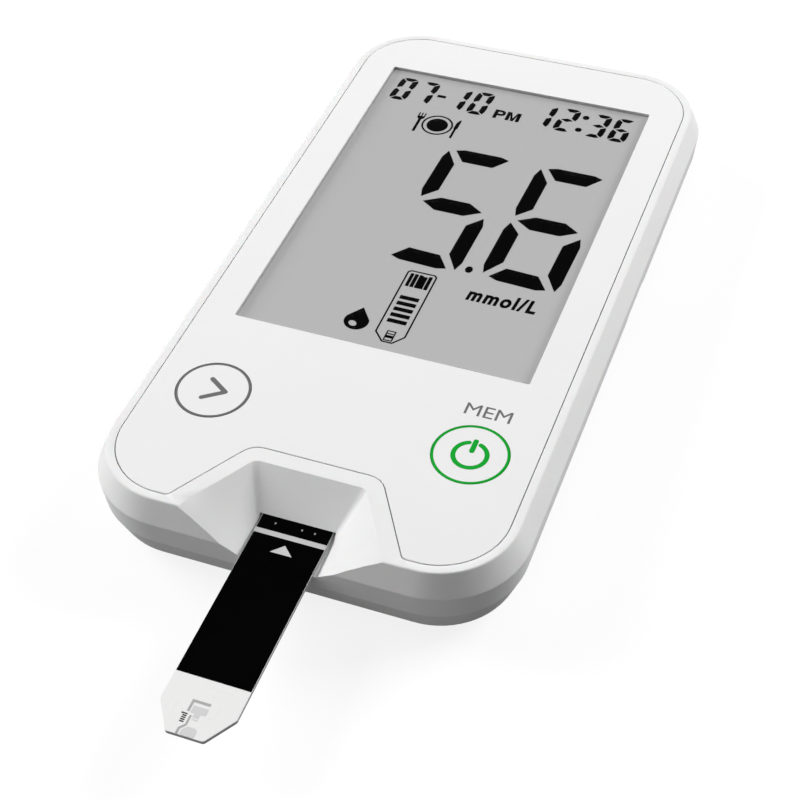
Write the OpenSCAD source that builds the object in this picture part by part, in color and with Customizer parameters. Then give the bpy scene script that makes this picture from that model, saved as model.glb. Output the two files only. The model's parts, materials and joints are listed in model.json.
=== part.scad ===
// Blood glucose meter with a test strip in its port.
// Millimetres. The origin is the middle of the flat base, +Z is up through the display,
// +Y runs towards the display end, and the test strip leaves at -Y.

/* [Body] */
// Width at the widest line, the ridge round the side
body_w = 50; // [45:0.5:56]
// Length from ridge to ridge
body_l = 95.2; // [88:0.2:108]
// Corner radius of the ridge, seen from above
corner_r = 10.15; // [9.6:0.05:11.5]
// Depth of the ridge below the panel's face
ridge_drop = 2.9; // [2.4:0.1:3.4]
// Depth of the seam between the two shells
seam_drop = 6.05; // [5.9:0.05:6.3]
// How far the top edge lies inside the ridge
top_inset = 1.25; // [0.9:0.05:1.6]
// How far the seam lies inside the ridge
seam_inset = 0.32; // [0.1:0.02:0.6]
// Width of the white rim outside the panel
rim_w = 1.06; // [0.8:0.02:1.4]
// Thickness of the side walls
wall = 1.2; // [1:0.1:1.5]
// Thickness of the bottom shell's floor
floor_t = 1.3; // [1.1:0.1:1.5]
// Height of the straight flank under the seam
flank_h = 1; // [0.6:0.1:1.4]
// Radius of the tight curve under the flank
side_curve_r = 3.3; // [2.8:0.1:3.8]
// Radius of the soft curve that ends on the flat of the base
foot_curve_r = 10; // [8:0.5:14]

/* [Front panel] */
// Thickness of the front panel
panel_t = 0.6; // [0.5:0.05:0.8]
// Gap between the panel and the rim
panel_gap = 0.12; // [0.1:0.02:0.3]
// Thickness of the shell's plate behind the panel
plate_t = 0.9; // [0.8:0.1:1.1]

/* [Display] */
// Width of the panel's border beside the window
border_side = 4.39; // [3.8:0.01:6]
// Width of the panel's border at the far end of the window
border_end = 7.84; // [7:0.02:9]
// Distance from the keys' middle to the near end of the window
border_keys = 12.35; // [11:0.05:16]
// Gap round the window
window_gap = 0.06; // [0.04:0.02:0.2]
// Thickness of each glass of the display
glass_t = 0.7; // [0.5:0.05:0.8]
// How far the glass reaches past the window at the sides and the far end
glass_margin = 1.7; // [1.5:0.1:2]
// How far the front glass reaches past the window at its contact edge
glass_ledge = 4.7; // [4.2:0.1:5]
// Width of the contact edge that the rear glass leaves open
contact_edge = 3; // [2.6:0.1:3.4]
// Thickness of the reflector film
film_t = 0.2; // [0.1:0.05:0.3]
// Thickness of the gasket that bonds the window and the panel to the glass
gasket_t = 0.15; // [0.1:0.05:0.3]
// Width of the gasket under the panel
gasket_w = 1.2; // [0.8:0.1:1.4]
// How far the gasket reaches under the window
gasket_lap = 0.12; // [0.06:0.02:0.4]
// Thickness of the display frame's shelf
shelf_t = 0.8; // [0.6:0.1:1.2]
// Wall of the display frame
frame_wall = 1.1; // [0.8:0.1:1.3]

/* [Keys] */
// Diameter of a key
key_d = 8.66; // [7.5:0.02:9.2]
// Distance of each key's middle from the panel's side edge
key_side = 7.29; // [6.6:0.01:8.2]
// Distance of the keys' middle from the front ridge
key_back = 18.4; // [17.4:0.1:20.6]
// Gap round a key
key_gap = 0.07; // [0.04:0.01:0.15]
// Travel of a key
key_travel = 0.3; // [0.2:0.05:0.35]
// Width of the flange that keeps a key behind the panel
key_flange = 0.8; // [0.6:0.05:0.9]
// Width of a switch body
switch_w = 4.6; // [4:0.1:5]
// Height of a switch body
switch_h = 1.1; // [1:0.05:1.2]
// Diameter of a switch plunger
plunger_d = 2; // [1.6:0.1:2.4]

/* [Strip port] */
// Distance of the funnel's upper back edge from the front ridge
funnel_depth = 10.05; // [9.4:0.05:10.4]
// Width of the funnel's upper back edge
funnel_back_w = 13; // [12:0.1:14]
// Angle by which the funnel's upper edges open
funnel_flare = 31; // [27:0.5:34]
// Distance of the strip's mouth from the front ridge
mouth_depth = 5.25; // [4.8:0.05:5.6]
// Gap between the strip and each side of the channel
channel_gap = 0.3; // [0.2:0.05:0.5]
// Width of the rim between the funnel and the panel
notch_rim = 1.95; // [1.7:0.05:2.2]
// Radius of the panel's two inner notch corners
notch_r = 2.4; // [1.6:0.1:3]
// Thickness of the funnel's walls, measured level
funnel_wall = 1.4; // [1.2:0.05:1.5]
// How far the funnel's side walls are dished
funnel_dish = 0.5; // [0:0.1:1.2]

/* [Test strip] */
// Width of the test strip
strip_w = 8.3; // [7.2:0.1:9.4]
// Thickness of the test strip
strip_t = 0.45; // [0.38:0.01:0.52]
// Depth of the strip's upper face below the panel's face
strip_drop = 3.7; // [3.3:0.05:4.2]
// Length of the strip that stands out past the front ridge
strip_out = 22.5; // [18:0.5:28]
// Depth of the strip inside the mouth
strip_in = 7.4; // [7:0.1:7.8]
// Width of the strip's tip
tip_w = 4.1; // [3:0.1:6]
// Length of the strip's taper
tip_l = 3.3; // [2:0.1:5]
// Width of the blood channel at the tip
blood_w = 1.2; // [0.8:0.1:1.6]
// Length of the blood channel
blood_l = 6.4; // [4:0.1:7]
// Length of the bare contact end
bare_l = 6; // [5:0.1:7]
// Thickness of the strip's spacer
spacer_t = 0.12; // [0.1:0.01:0.14]
// Thickness of the strip's printed cover
strip_film_t = 0.08; // [0.06:0.01:0.1]

/* [Board] */
// Thickness of the circuit board
board_t = 1; // [0.8:0.1:1.2]
// Thickness of the strip connector's floor, which sets the board's depth
socket_floor = 0.6; // [0.5:0.05:0.8]
// Thickness of the strip connector's roof
socket_roof = 0.85; // [0.7:0.05:1]
// Gap between the board and the side walls
board_gap = 1; // [0.9:0.1:1.4]
// Distance of the data port from the middle of the body
port_y = 7.2; // [5:0.1:9]
// Width of the data socket
usb_w = 7.5; // [7:0.1:8]
// Height of the data socket
usb_h = 2.5; // [2.2:0.1:2.6]
// Length of the data socket
usb_l = 5.4; // [5:0.1:6]
// Clearance of the port round the data socket
port_gap = 0.3; // [0.2:0.05:0.4]

/* [Coin cell] */
// Diameter of the coin cell
cell_d = 20; // [16:0.1:20]
// Thickness of the coin cell
cell_t = 3.2; // [2.5:0.1:3.8]
// Distance of the cell's middle from the middle of the body
cell_y = 18; // [16.5:0.1:20]
// Clearance round the cell
cell_gap = 0.4; // [0.3:0.05:0.5]
// Room for the negative contact between the cell and the board
cell_head = 0.4; // [0.35:0.05:0.6]
// How far the battery cover reaches past the well at each side
cover_side = 1.6; // [1.2:0.1:2.4]
// How far the battery cover reaches past the well at each end
cover_end = 2.6; // [2.3:0.1:3.4]
// Thickness of the battery cover
cover_t = 1.2; // [1:0.1:1.4]
// Gap round the cover
cover_gap = 0.15; // [0.12:0.01:0.25]
// How far the cover lies inside the base
cover_recess = 0.15; // [0.1:0.05:0.2]

/* [Fasteners] */
// Diameter of a housing screw
screw_d = 1.6; // [1.4:0.1:1.8]
// Diameter of a housing screw's head
screw_head_d = 3.2; // [2.8:0.1:3.4]
// Height of a housing screw's head
screw_head_h = 1; // [0.8:0.1:1.1]
// Length of a housing screw under its head
screw_l = 6.6; // [6:0.1:6.8]
// Diameter of a board screw
board_screw_d = 1.2; // [1:0.1:1.4]
// Length of a board screw under its head
board_screw_l = 3.1; // [2.6:0.1:3.3]

/* [Hidden] */
$fn = 64;

over = 1;             // how far a cut runs past the face it opens
root = 0.2;           // how far a feature runs into the solid that carries it
seat_gap = 0.02;      // between pieces that bear on each other
fit_gap = 0.1;        // between pieces that drop in by hand

// Plan: every level of the body is a rectangle whose corners share these centres.
centre_x = body_w / 2 - corner_r;
centre_y = body_l / 2 - corner_r;
front_y = -body_l / 2;
top_r = corner_r - top_inset;
groove_r = top_r - rim_w;
seam_r = corner_r - seam_inset;
cavity_r = seam_r - wall;
board_r = cavity_r - board_gap;
panel_tip_r = 0.7;     // rounds the panel's two points beside the funnel
lip_w = 0.6;
lip_h = 0.8;
lip_r = cavity_r - fit_gap - lip_w;

// Heights, from the base up through the cell and the board to the strip and the panel's face
strip_play = 0.05;
rib_h = 0.25;
cover_z = cover_recess + cover_t;
cell_z = cover_z + rib_h;
board_z = cell_z + cell_t + cell_head;
board_top = board_z + board_t;
channel_z = board_top + socket_floor;
strip_z = channel_z + strip_play;
body_h = strip_z + strip_t + strip_drop;

// Heights, from the panel's face down through the display
panel_z = body_h - panel_t;
plate_z = panel_z - plate_t;
ridge_z = body_h - ridge_drop;
seam_z = body_h - seam_drop;
glass_z = panel_z - gasket_t - glass_t;
rear_glass_z = glass_z - glass_t;
film_z = rear_glass_z - film_t;

// The side below the seam: a straight flank, a tight curve and a soft one that ends flat
flank_tilt = atan2(seam_inset, ridge_z - seam_z);
flank_r = seam_r - flank_h * tan(flank_tilt);
tight_centre = [
    flank_r - side_curve_r * cos(flank_tilt),
    seam_z - flank_h + side_curve_r * sin(flank_tilt)
];
soft_turn = acos((foot_curve_r - tight_centre.y) / (foot_curve_r - side_curve_r));
soft_centre = [tight_centre.x - (foot_curve_r - side_curve_r) * sin(soft_turn), foot_curve_r];

// The keys and the display between them and the far end, in plan
key_x = centre_x + groove_r - key_side;
key_line = front_y + key_back;
window_low = key_line + border_keys;
window_top = centre_y + groove_r - border_end;
window_w = 2 * (centre_x + groove_r - border_side);
window_l = window_top - window_low;
window_y = (window_top + window_low) / 2;
window_r = 0.25;
glass_w = window_w + 2 * glass_margin;
glass_top = window_top + glass_margin;
glass_low = window_low - glass_ledge;
glass_gap = 0.15;
connector_inset = 0.5; // from the edges of the glass's contact edge
frame_top = glass_top + glass_gap + frame_wall;

// What stands under the keys
key_flange_t = 0.55;
key_play = 0.05;
key_edge = 0.06;
stem_d = 3;
switch_floor = 0.45;
plunger_z = board_top + switch_floor + key_travel + 0.1;
plunger_top = board_top + switch_h + key_travel + 0.2;

// The funnel and the slit at its end
mouth_y = front_y + mouth_depth;
funnel_back_y = front_y + funnel_depth;
funnel_top_r = 1.1;
funnel_floor_r = 0.5;
channel_w = strip_w + 2 * channel_gap;
slit_h = strip_t + 4 * strip_play;
insert_y = mouth_y + strip_in;
tip_y = front_y - strip_out;

// The strip connector on the board
socket_side = 2.25;
socket_w = channel_w + 2 * socket_side;
socket_top = channel_z + slit_h + socket_roof;
socket_gap = 0.34;     // behind the leaning back wall of the funnel
socket_level = (socket_top - channel_z) / (body_h - channel_z);
socket_front = mouth_y + (funnel_back_y - mouth_y) * socket_level + funnel_wall + socket_gap;
socket_end = 1.5;      // of solid plastic behind the strip's end
socket_back = insert_y + socket_end;
contact_count = 5;
contact_pitch = 1.4;
contact_w = 0.5;
contact_t = 0.15;
comb_w = 0.8;

// The data port under the board
usb_skin = 0.25;
usb_face = body_w / 2 - 2.1;
usb_z = board_z - usb_h / 2 - 0.05;
port_from = centre_x + board_r - 1;

// The chips and the buzzer, in a row on the board's underside
board_side = centre_x + board_r;
chip_back = 17.2;      // from the keys' middle
processor_in = 14;     // from the board's right-hand edge
crystal_in = 6;        // from the same edge
buzzer_in = 9;         // from the board's left-hand edge
chip_line = key_line + chip_back;
processor_x = board_side - processor_in;
crystal_x = board_side - crystal_in;
buzzer_x = buzzer_in - board_side;
memory_x = (processor_x + buzzer_x) / 2;
processor_w = 7;
processor_h = 1.3;
processor_pitch = 0.65;
memory_w = 4.8;
memory_l = 4;
memory_h = 1.4;
memory_pitch = 1.1;
chip_foot = 0.9;       // of the bent legs, outside the chip
buzzer_r = 4.5;
buzzer_h = 2.1;
buzzer_edge = 0.3;
vent_r = 0.6;
vent_depth = 0.7;

// The coin cell's well and its cover
well_r = cell_d / 2 + cell_gap;
well_top = board_z - 0.25;
leaf_t = 0.12;
leaf_w = 3.2;
leaf_bow = 3;          // half the length of its bow
leaf_foot = 3.5;       // the soldered end
leaf_slide = 2;        // the free end
cover_w = 2 * (well_r + cover_side);
cover_l = 2 * (well_r + cover_end);
well_wall = 1.1;
cover_r = 1.8;
tray_z = cover_z + 0.15;
tray_t = 1.2;
tray_edge = 1.6;
hook_w = 4;
hook_x = 7;
hook_out = 1;
hook_root = 1.5;
hook_z = floor_t + fit_gap;
hook_t = 0.7;
hinge_y = cell_y - cover_l / 2;
free_y = cell_y + cover_l / 2;
tab_w = 6;
tab_l = 4;
tab_slit = 0.5;
dip_r = 5;
dip_depth = 0.9;

// The screws
boss_wall = 1.2;
boss_r = screw_d / 2 + boss_wall;
frame_clear = 0.55;    // between the display frame and the rear bosses
front_boss_out = 3.6;  // outside the corner centres, beside the funnel
rear_boss_in = 1.8;    // inside the corner centres
rear_line = frame_top + frame_clear + boss_r;
front_boss = [centre_x + front_boss_out, -centre_y];
rear_boss = [centre_x - rear_boss_in, rear_line];
foot_boss_r = screw_head_d / 2 + 1;
head_seat = 1.6;
key_screw_back = 2.7;  // of the board screw between the keys, from their middle
board_screw_y = [key_line + key_screw_back, rear_line];
post_r = board_screw_d / 2 + 1.1;
board_head_h = 0.8;
board_head_r = board_screw_d / 2 + 0.7;
board_head_edge = 0.3;

// ------------------------------------------------------------------ outlines

function unit(v) = v / norm(v);

// Points that round the corner at b, on the way from a to c, with radius r in n steps
function fillet(a, b, c, r, n) =
    let (
        u = unit(a - b),
        v = unit(c - b),
        half = acos(u * v) / 2,
        centre = b + unit(u + v) * r / sin(half),
        p = b + u * r / tan(half) - centre,
        q = b + v * r / tan(half) - centre,
        from = atan2(p.y, p.x),
        gap = atan2(q.y, q.x) - from,
        turn = gap > 180 ? gap - 360 : gap < -180 ? gap + 360 : gap
    )
    [for (i = [0:n]) centre + r * [cos(from + turn * i / n), sin(from + turn * i / n)]];

// A closed outline from corners [x, y, radius]
function rounded(corners) =
    let (count = len(corners))
    [for (i = [0:count - 1])
        let (
            a = corners[(i + count - 1) % count],
            b = corners[i],
            c = corners[(i + 1) % count],
            steps = max(3, ceil(b[2] * 1.6))
        )
        each (b[2] > 0
            ? fillet([a.x, a.y], [b.x, b.y], [c.x, c.y], b[2], steps)
            : [[b.x, b.y]])];

// Points on a circle's arc
function arc(centre, r, from, to, n) =
    [for (i = [0:n]) let (t = from + (to - from) * i / n) centre + r * [cos(t), sin(t)]];

// The outline of a bent ribbon of thickness t whose middle line is path
function ribbon(path, t) =
    let (
        last = len(path) - 1,
        side = [for (i = [0:last])
            let (
                a = unit(path[min(i + 1, last)] - path[min(i, last - 1)]),
                b = unit(path[max(i, 1)] - path[max(i - 1, 0)]),
                along = unit(a + b),
                half = t / 2 / (along * a)
            )
            half * [-along.y, along.x]]
    )
    concat(
        [for (i = [0:last]) path[i] + side[i]],
        [for (i = [last:-1:0]) path[i] - side[i]]
    );

module box_outline(w, l, r) {
    polygon(rounded([[w / 2, -l / 2, r], [w / 2, l / 2, r], [-w / 2, l / 2, r], [-w / 2, -l / 2, r]]));
}

// The plan of the body at a distance r from its corner centres
module body_plan(r) {
    square([2 * (centre_x + r), 2 * centre_y], center = true);
    square([2 * centre_x, 2 * (centre_y + r)], center = true);
    for (x = [-centre_x, centre_x], y = [-centre_y, centre_y])
        translate([x, y]) circle(r);
}

// The panel's outline, moved outwards by grow: a round-cornered field less the funnel's notch
module panel_plan(grow) {
    back_x = funnel_back_w / 2 + notch_rim * (1 / cos(funnel_flare) - tan(funnel_flare));
    back_y = funnel_back_y + notch_rim;
    front_x = back_x + (back_y - front_y) * tan(funnel_flare);
    offset(r = panel_tip_r + grow) offset(delta = -panel_tip_r) difference() {
        body_plan(groove_r);
        polygon(rounded([
            [-front_x, front_y, 0], [-back_x, back_y, notch_r],
            [back_x, back_y, notch_r], [front_x, front_y, 0]
        ]));
    }
}

// Draws its outline, given in [y, z], as a plate of width w that is centred on x
module across(x, w) {
    translate([x - w / 2, 0, 0]) rotate([90, 0, 90]) linear_extrude(w) children();
}

// ------------------------------------------------------------------ body forms

// A solid whose side profile runs all round the body.
// The profile's points are [distance from the corner centre, height], from the axis out and back.
module swept(profile) {
    right = [for (p = profile) [centre_x + p.x, p.y]];
    left = [for (i = [len(profile) - 1:-1:0]) [-centre_x - profile[i].x, profile[i].y]];
    translate([0, centre_y, 0]) rotate([90, 0, 0])
        linear_extrude(2 * centre_y) polygon(concat(right, left));
    for (end = [0, 1]) mirror([0, end, 0]) translate([0, centre_y, 0])
        across(0, 2 * centre_x) polygon(profile);
    for (k = [0:3]) {
        side = k == 0 || k == 3 ? 1 : -1;
        end = k < 2 ? 1 : -1;
        translate([side * centre_x, end * centre_y, 0]) rotate([0, 0, 90 * k])
            rotate_extrude(angle = 90) polygon(profile);
    }
}

// The curve under the body, moved inwards by inset
function under_curve(inset) = concat(
    arc(soft_centre, foot_curve_r - inset, -90, -90 + soft_turn, 4),
    [for (p = arc(tight_centre, side_curve_r - inset, -90 + soft_turn, -flank_tilt, 6))
        if (p.x > soft_centre.x + (foot_curve_r - inset) * sin(soft_turn) + 0.01) p]
);

top_profile = concat(
    [[0, seam_z], [seam_r, seam_z]],
    fillet([seam_r, seam_z], [corner_r, ridge_z], [top_r, body_h], 0.5, 3),
    fillet([corner_r, ridge_z], [top_r, body_h], [0, body_h], 0.25, 3),
    [[0, body_h]]
);
bottom_profile = concat([[0, 0]], under_curve(0), [[seam_r, seam_z], [0, seam_z]]);
cavity_curve = [for (p = under_curve(floor_t)) if (p.x < lip_r - 0.01) p];
bottom_cavity = concat(
    [[0, floor_t]],
    cavity_curve,
    [[lip_r, cavity_curve[len(cavity_curve) - 1].y + 0.5], [lip_r, seam_z + over], [0, seam_z + over]]
);

// Half of the funnel's outline at one level, from the middle of its back to past the front.
// Level 0 is the channel's floor and level 1 the panel's face.
function funnel_half(level, grow) =
    let (
        low = [channel_w / 2 + grow, mouth_y + grow],
        high = [funnel_back_w / 2 + grow, funnel_back_y + grow],
        back = low + (high - low) * level,
        low_run = [0, -mouth_depth + 0.3],
        high_run = (funnel_depth - top_inset - 0.05) * [tan(funnel_flare), -1],
        dish = [4 * funnel_dish * level * (1 - level), 0],
        front = back + 1.6 * (low_run + (high_run - low_run) * level - dish),
        r = funnel_floor_r + (funnel_top_r - funnel_floor_r) * level + grow / 2,
        corner = fillet([0, back.y], back, front, r, 4),
        last = corner[4]
    )
    concat(corner, [for (i = [1:6]) last + (front - last) * i / 6]);

// The funnel as a solid: ruled side walls that twist from the channel to the open top
module funnel(grow) {
    levels = [0, 0.25, 0.5, 0.75, 1, 1.2];
    rise = body_h - channel_z;
    rings = [for (level = levels)
        let (half = funnel_half(level, grow), z = channel_z + level * rise)
        concat(
            [for (p = half) [p.x, p.y, z]],
            [for (j = [len(half) - 1:-1:0]) [-half[j].x, half[j].y, z]]
        )];
    foot = [for (p = rings[0]) [p.x, p.y, p.z - grow]];
    all = grow > 0 ? concat([foot], rings) : rings;
    count = len(rings[0]);
    top = (len(all) - 1) * count;
    polyhedron(
        points = [for (ring = all) each ring],
        faces = concat(
            [[for (j = [count - 1:-1:0]) j]],
            [for (i = [0:len(all) - 2], j = [0:count - 1])
                let (a = i * count + j, b = i * count + (j + 1) % count)
                each [[a, b + count, a + count], [a, b, b + count]]],
            [[for (j = [0:count - 1]) top + j]]
        )
    );
}

// The hole in the side wall for the data plug
module port_hole() {
    translate([port_from, port_y, usb_z]) rotate([90, 0, 90])
        linear_extrude(body_w / 2 + over - port_from)
            box_outline(usb_w + 2 * port_gap, usb_h + 2 * port_gap, 1);
}

module at_bosses() {
    for (side = [0, 1], at = [front_boss, rear_boss])
        mirror([side, 0, 0]) translate([at.x, at.y, 0]) children();
}

module at_board_screws() {
    for (y = board_screw_y) translate([0, y, 0]) children();
}

module at_keys() {
    for (x = [-key_x, key_x]) translate([x, key_line, 0]) children();
}

// ------------------------------------------------------------------ housing

module top_shell() {
    color("#f2f2f0") difference() {
        union() {
            difference() {
                swept(top_profile);
                translate([0, 0, seam_z - over])
                    linear_extrude(plate_z - seam_z + over) body_plan(cavity_r);
            }
            intersection() {
                swept(top_profile);
                funnel(funnel_wall);
            }
            at_bosses() translate([0, 0, seam_z]) cylinder(r = boss_r, h = plate_z - seam_z + root);
            at_board_screws() translate([0, 0, board_top])
                cylinder(r = post_r, h = plate_z - board_top + root);
        }
        translate([0, 0, panel_z]) linear_extrude(panel_t + over) panel_plan(panel_gap / 2);
        funnel(0);
        // the slit that the strip goes through
        translate([-channel_w / 2, mouth_y - 0.5, channel_z])
            cube([channel_w, socket_front - mouth_y + 1, slit_h]);
        at_bosses() translate([0, 0, seam_z - over])
            cylinder(d = screw_d + 2 * seat_gap, h = head_seat + screw_l + 0.2 - seam_z + over);
        at_board_screws() translate([0, 0, board_top - over])
            cylinder(d = board_screw_d + 2 * seat_gap, h = board_screw_l - board_t + 0.1 + over);
        at_keys() translate([0, 0, plate_z - over])
            cylinder(r = key_d / 2 + key_flange + 0.3, h = plate_t + 2 * over);
        // the opening that the front glass stands in
        translate([-glass_w / 2 - glass_gap, glass_low - glass_gap, plate_z - over])
            cube([glass_w + 2 * glass_gap, glass_top - glass_low + 2 * glass_gap, plate_t + 2 * over]);
        port_hole();
    }
}

module bottom_shell() {
    color("#ededeb") difference() {
        union() {
            difference() {
                swept(bottom_profile);
                swept(bottom_cavity);
            }
            intersection() {
                swept(bottom_profile);
                union() {
                    at_bosses() cylinder(r = foot_boss_r, h = seam_z);
                    translate([0, cell_y, 0]) {
                        linear_extrude(tray_z + tray_t)
                            box_outline(cover_w + 2 * tray_edge, cover_l + 2 * tray_edge + 1, cover_r);
                        cylinder(r = well_r + well_wall, h = well_top);
                    }
                }
            }
            // the lip inside the seam that lines up the two shells
            translate([0, 0, seam_z - root]) linear_extrude(lip_h + root) difference() {
                body_plan(lip_r + lip_w);
                body_plan(lip_r);
                at_bosses() circle(boss_r + fit_gap);
                translate([-funnel_back_w, front_y]) square([2 * funnel_back_w, funnel_depth]);
            }
        }
        translate([0, cell_y, -over]) linear_extrude(tray_z + over)
            box_outline(cover_w + 2 * cover_gap, cover_l + 2 * cover_gap, cover_r + cover_gap);
        translate([0, cell_y, tray_z - over]) cylinder(r = well_r, h = well_top + over);
        for (x = [-hook_x, hook_x])
            translate([x - hook_w / 2 - 0.3, hinge_y - hook_out - 0.4, floor_t])
                cube([hook_w + 0.6, hook_out + 3.5, hook_t + 1]);
        // the dip for a fingertip at the cover's free end
        translate([0, free_y, dip_depth - dip_r]) sphere(r = dip_r);
        at_bosses() {
            translate([0, 0, -over]) cylinder(d = screw_head_d + 0.4, h = head_seat + over);
            cylinder(d = screw_d + 0.3, h = seam_z + over);
        }
        port_hole();
    }
}

module front_panel() {
    color("#efefef") translate([0, 0, panel_z]) linear_extrude(panel_t) difference() {
        panel_plan(-panel_gap / 2);
        translate([0, window_y]) box_outline(window_w, window_l, window_r);
        at_keys() circle(key_d / 2 + key_gap);
    }
}

// ------------------------------------------------------------------ display

module display_window() {
    color("#c8ccd0", 0.4) translate([0, window_y, panel_z]) linear_extrude(panel_t)
        box_outline(window_w - 2 * window_gap, window_l - 2 * window_gap, window_r - window_gap);
}

module display_gasket() {
    color("#303030") translate([0, window_y, panel_z - gasket_t]) linear_extrude(gasket_t) difference() {
        box_outline(window_w + 2 * gasket_w, window_l + 2 * gasket_w, 1);
        box_outline(window_w - 2 * gasket_lap, window_l - 2 * gasket_lap, window_r);
    }
}

// A sheet of the display from the contact edge at low to the far edge
module display_sheet(low, z, t) {
    translate([-glass_w / 2, low, z]) cube([glass_w, glass_top - low, t]);
}

module lcd_front_glass() {
    color("#bababa") display_sheet(glass_low, glass_z, glass_t);
}

module lcd_rear_glass() {
    color("#b4b6b4") display_sheet(glass_low + contact_edge, rear_glass_z, glass_t);
}

module lcd_reflector() {
    color("#c4c4c0") display_sheet(glass_low + contact_edge, film_z, film_t);
}

// A moulded frame that stands on the board: a wall round the glass and a shelf under its edges
module display_frame() {
    out = glass_gap + frame_wall;
    shelf_w = 2;          // how far the shelf reaches in under the window
    slot = fit_gap * 2;   // round the connector
    around = connector_inset - slot;
    color("#e8e8e4") difference() {
        translate([-glass_w / 2 - out, glass_low - out, board_top])
            cube([glass_w + 2 * out, glass_top - glass_low + 2 * out, plate_z - fit_gap - board_top]);
        translate([-glass_w / 2 - glass_gap, glass_low - glass_gap, film_z])
            cube([glass_w + 2 * glass_gap, glass_top - glass_low + 2 * glass_gap, plate_z]);
        translate([-glass_w / 2 - glass_gap, glass_low + contact_edge + slot, board_top - over])
            cube([glass_w + 2 * glass_gap, glass_top - glass_low - contact_edge - slot,
                  film_z - shelf_t - board_top + over]);
        translate([0, window_y, board_top - over]) linear_extrude(plate_z)
            box_outline(window_w - 2 * shelf_w, window_l - 2 * shelf_w, 2);
        translate([-glass_w / 2 + around, glass_low + around, board_top - over])
            cube([glass_w - 2 * around, contact_edge - 2 * around, plate_z]);
    }
}

module lcd_connector() {
    color("#5c5c60") translate([-glass_w / 2 + connector_inset, glass_low + connector_inset, board_top])
        cube([glass_w - 2 * connector_inset, contact_edge - 2 * connector_inset, glass_z - board_top]);
}

// ------------------------------------------------------------------ board

module main_board() {
    notch = boss_r + 0.4;
    color("#2f6b3f") translate([0, 0, board_z]) linear_extrude(board_t) difference() {
        body_plan(board_r);
        translate([-body_w / 2, front_y]) square([body_w, socket_front - 0.4 - front_y]);
        for (side = [0, 1]) mirror([side, 0]) {
            translate([front_boss.x - notch, front_y])
                square([body_w / 2, front_boss.y + notch - front_y]);
            translate([rear_boss.x, rear_boss.y]) circle(notch);
            translate([rear_boss.x - notch, rear_boss.y]) square([2 * notch, body_l]);
        }
        at_board_screws() circle(d = board_screw_d + 0.2);
    }
}

// A chip on the board's underside with bent legs on two or four sides
module chip(w, l, h, legs, pitch, sides) {
    translate([0, 0, board_z - h]) difference() {
        translate([-w / 2, -l / 2, 0]) cube([w, l, h - 0.1]);
        translate([-w / 2 + 0.8, l / 2 - 0.8, -0.1]) cylinder(d = 0.6, h = 0.2);
    }
    for (k = [0:sides - 1]) rotate([0, 0, sides == 2 ? 180 * k : 90 * k])
        for (i = [0:legs - 1])
            across((i - (legs - 1) / 2) * pitch, 0.3)
                polygon(ribbon([
                    [l / 2 - 0.1, board_z - h / 2],
                    [l / 2 + 0.3, board_z - h / 2],
                    [l / 2 + 0.45, board_z - 0.08],
                    [l / 2 + chip_foot, board_z - 0.08]
                ], 0.14));
}

module processor_chip() {
    color("#26272a") translate([processor_x, chip_line, 0])
        chip(processor_w, processor_w, processor_h, 9, processor_pitch, 4);
}

module memory_chip() {
    color("#2b2c30") translate([memory_x, chip_line, 0])
        chip(memory_w, memory_l, memory_h, 4, memory_pitch, 2);
}

module clock_crystal() {
    color("#c9c9c6") translate([crystal_x, chip_line - 3, board_z - 1.05]) rotate([-90, 0, 0]) {
        cylinder(d = 2, h = 6);
        for (x = [-0.4, 0.4]) translate([x, 0, -2]) cylinder(d = 0.25, h = 2.1);
    }
}

module temperature_sensor() {
    color("#3a3b3e") translate([socket_w / 2 + 2.5, socket_front + 1.5, board_top]) {
        translate([-0.5, 0, 0]) cube([1, 1.4, 0.5]);
        for (y = [-0.2, 1.2]) translate([-0.5, y, 0]) cube([1, 0.4, 0.6]);
    }
}

module buzzer() {
    color("#1f2022") translate([buzzer_x, chip_line - 1, 0]) rotate_extrude() polygon([
        [vent_r, board_z - buzzer_h + vent_depth], [vent_r, board_z - buzzer_h],
        [buzzer_r - buzzer_edge, board_z - buzzer_h], [buzzer_r, board_z - buzzer_h + buzzer_edge],
        [buzzer_r, board_z], [0, board_z], [0, board_z - buzzer_h + vent_depth]
    ]);
}

// ------------------------------------------------------------------ keys

// A round key, flush with the panel, held behind it by a flange and guided by its stem
module key_cap() {
    flange_z = panel_z - key_play - key_flange_t;
    rotate_extrude() polygon([
        [0, plunger_top],
        [stem_d / 2, plunger_top],
        [stem_d / 2, flange_z],
        [key_d / 2 + key_flange, flange_z],
        [key_d / 2 + key_flange, flange_z + key_flange_t],
        [key_d / 2, flange_z + key_flange_t],
        [key_d / 2, body_h - key_edge],
        [key_d / 2 - key_edge, body_h],
        [0, body_h]
    ]);
}

module switch_plunger() {
    rotate_extrude() polygon([
        [0, plunger_z], [plunger_d / 2, plunger_z], [plunger_d / 2, plunger_top - 0.1],
        [plunger_d / 2 - 0.1, plunger_top], [0, plunger_top]
    ]);
}

module next_key() {
    color("#ececec") translate([-key_x, key_line, 0]) key_cap();
}

module power_key() {
    color("#ececec") translate([key_x, key_line, 0]) key_cap();
}

module next_switch_plunger() {
    color("#d8b04a") translate([-key_x, key_line, 0]) switch_plunger();
}

module power_switch_plunger() {
    color("#d8b04a") translate([key_x, key_line, 0]) switch_plunger();
}

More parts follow.
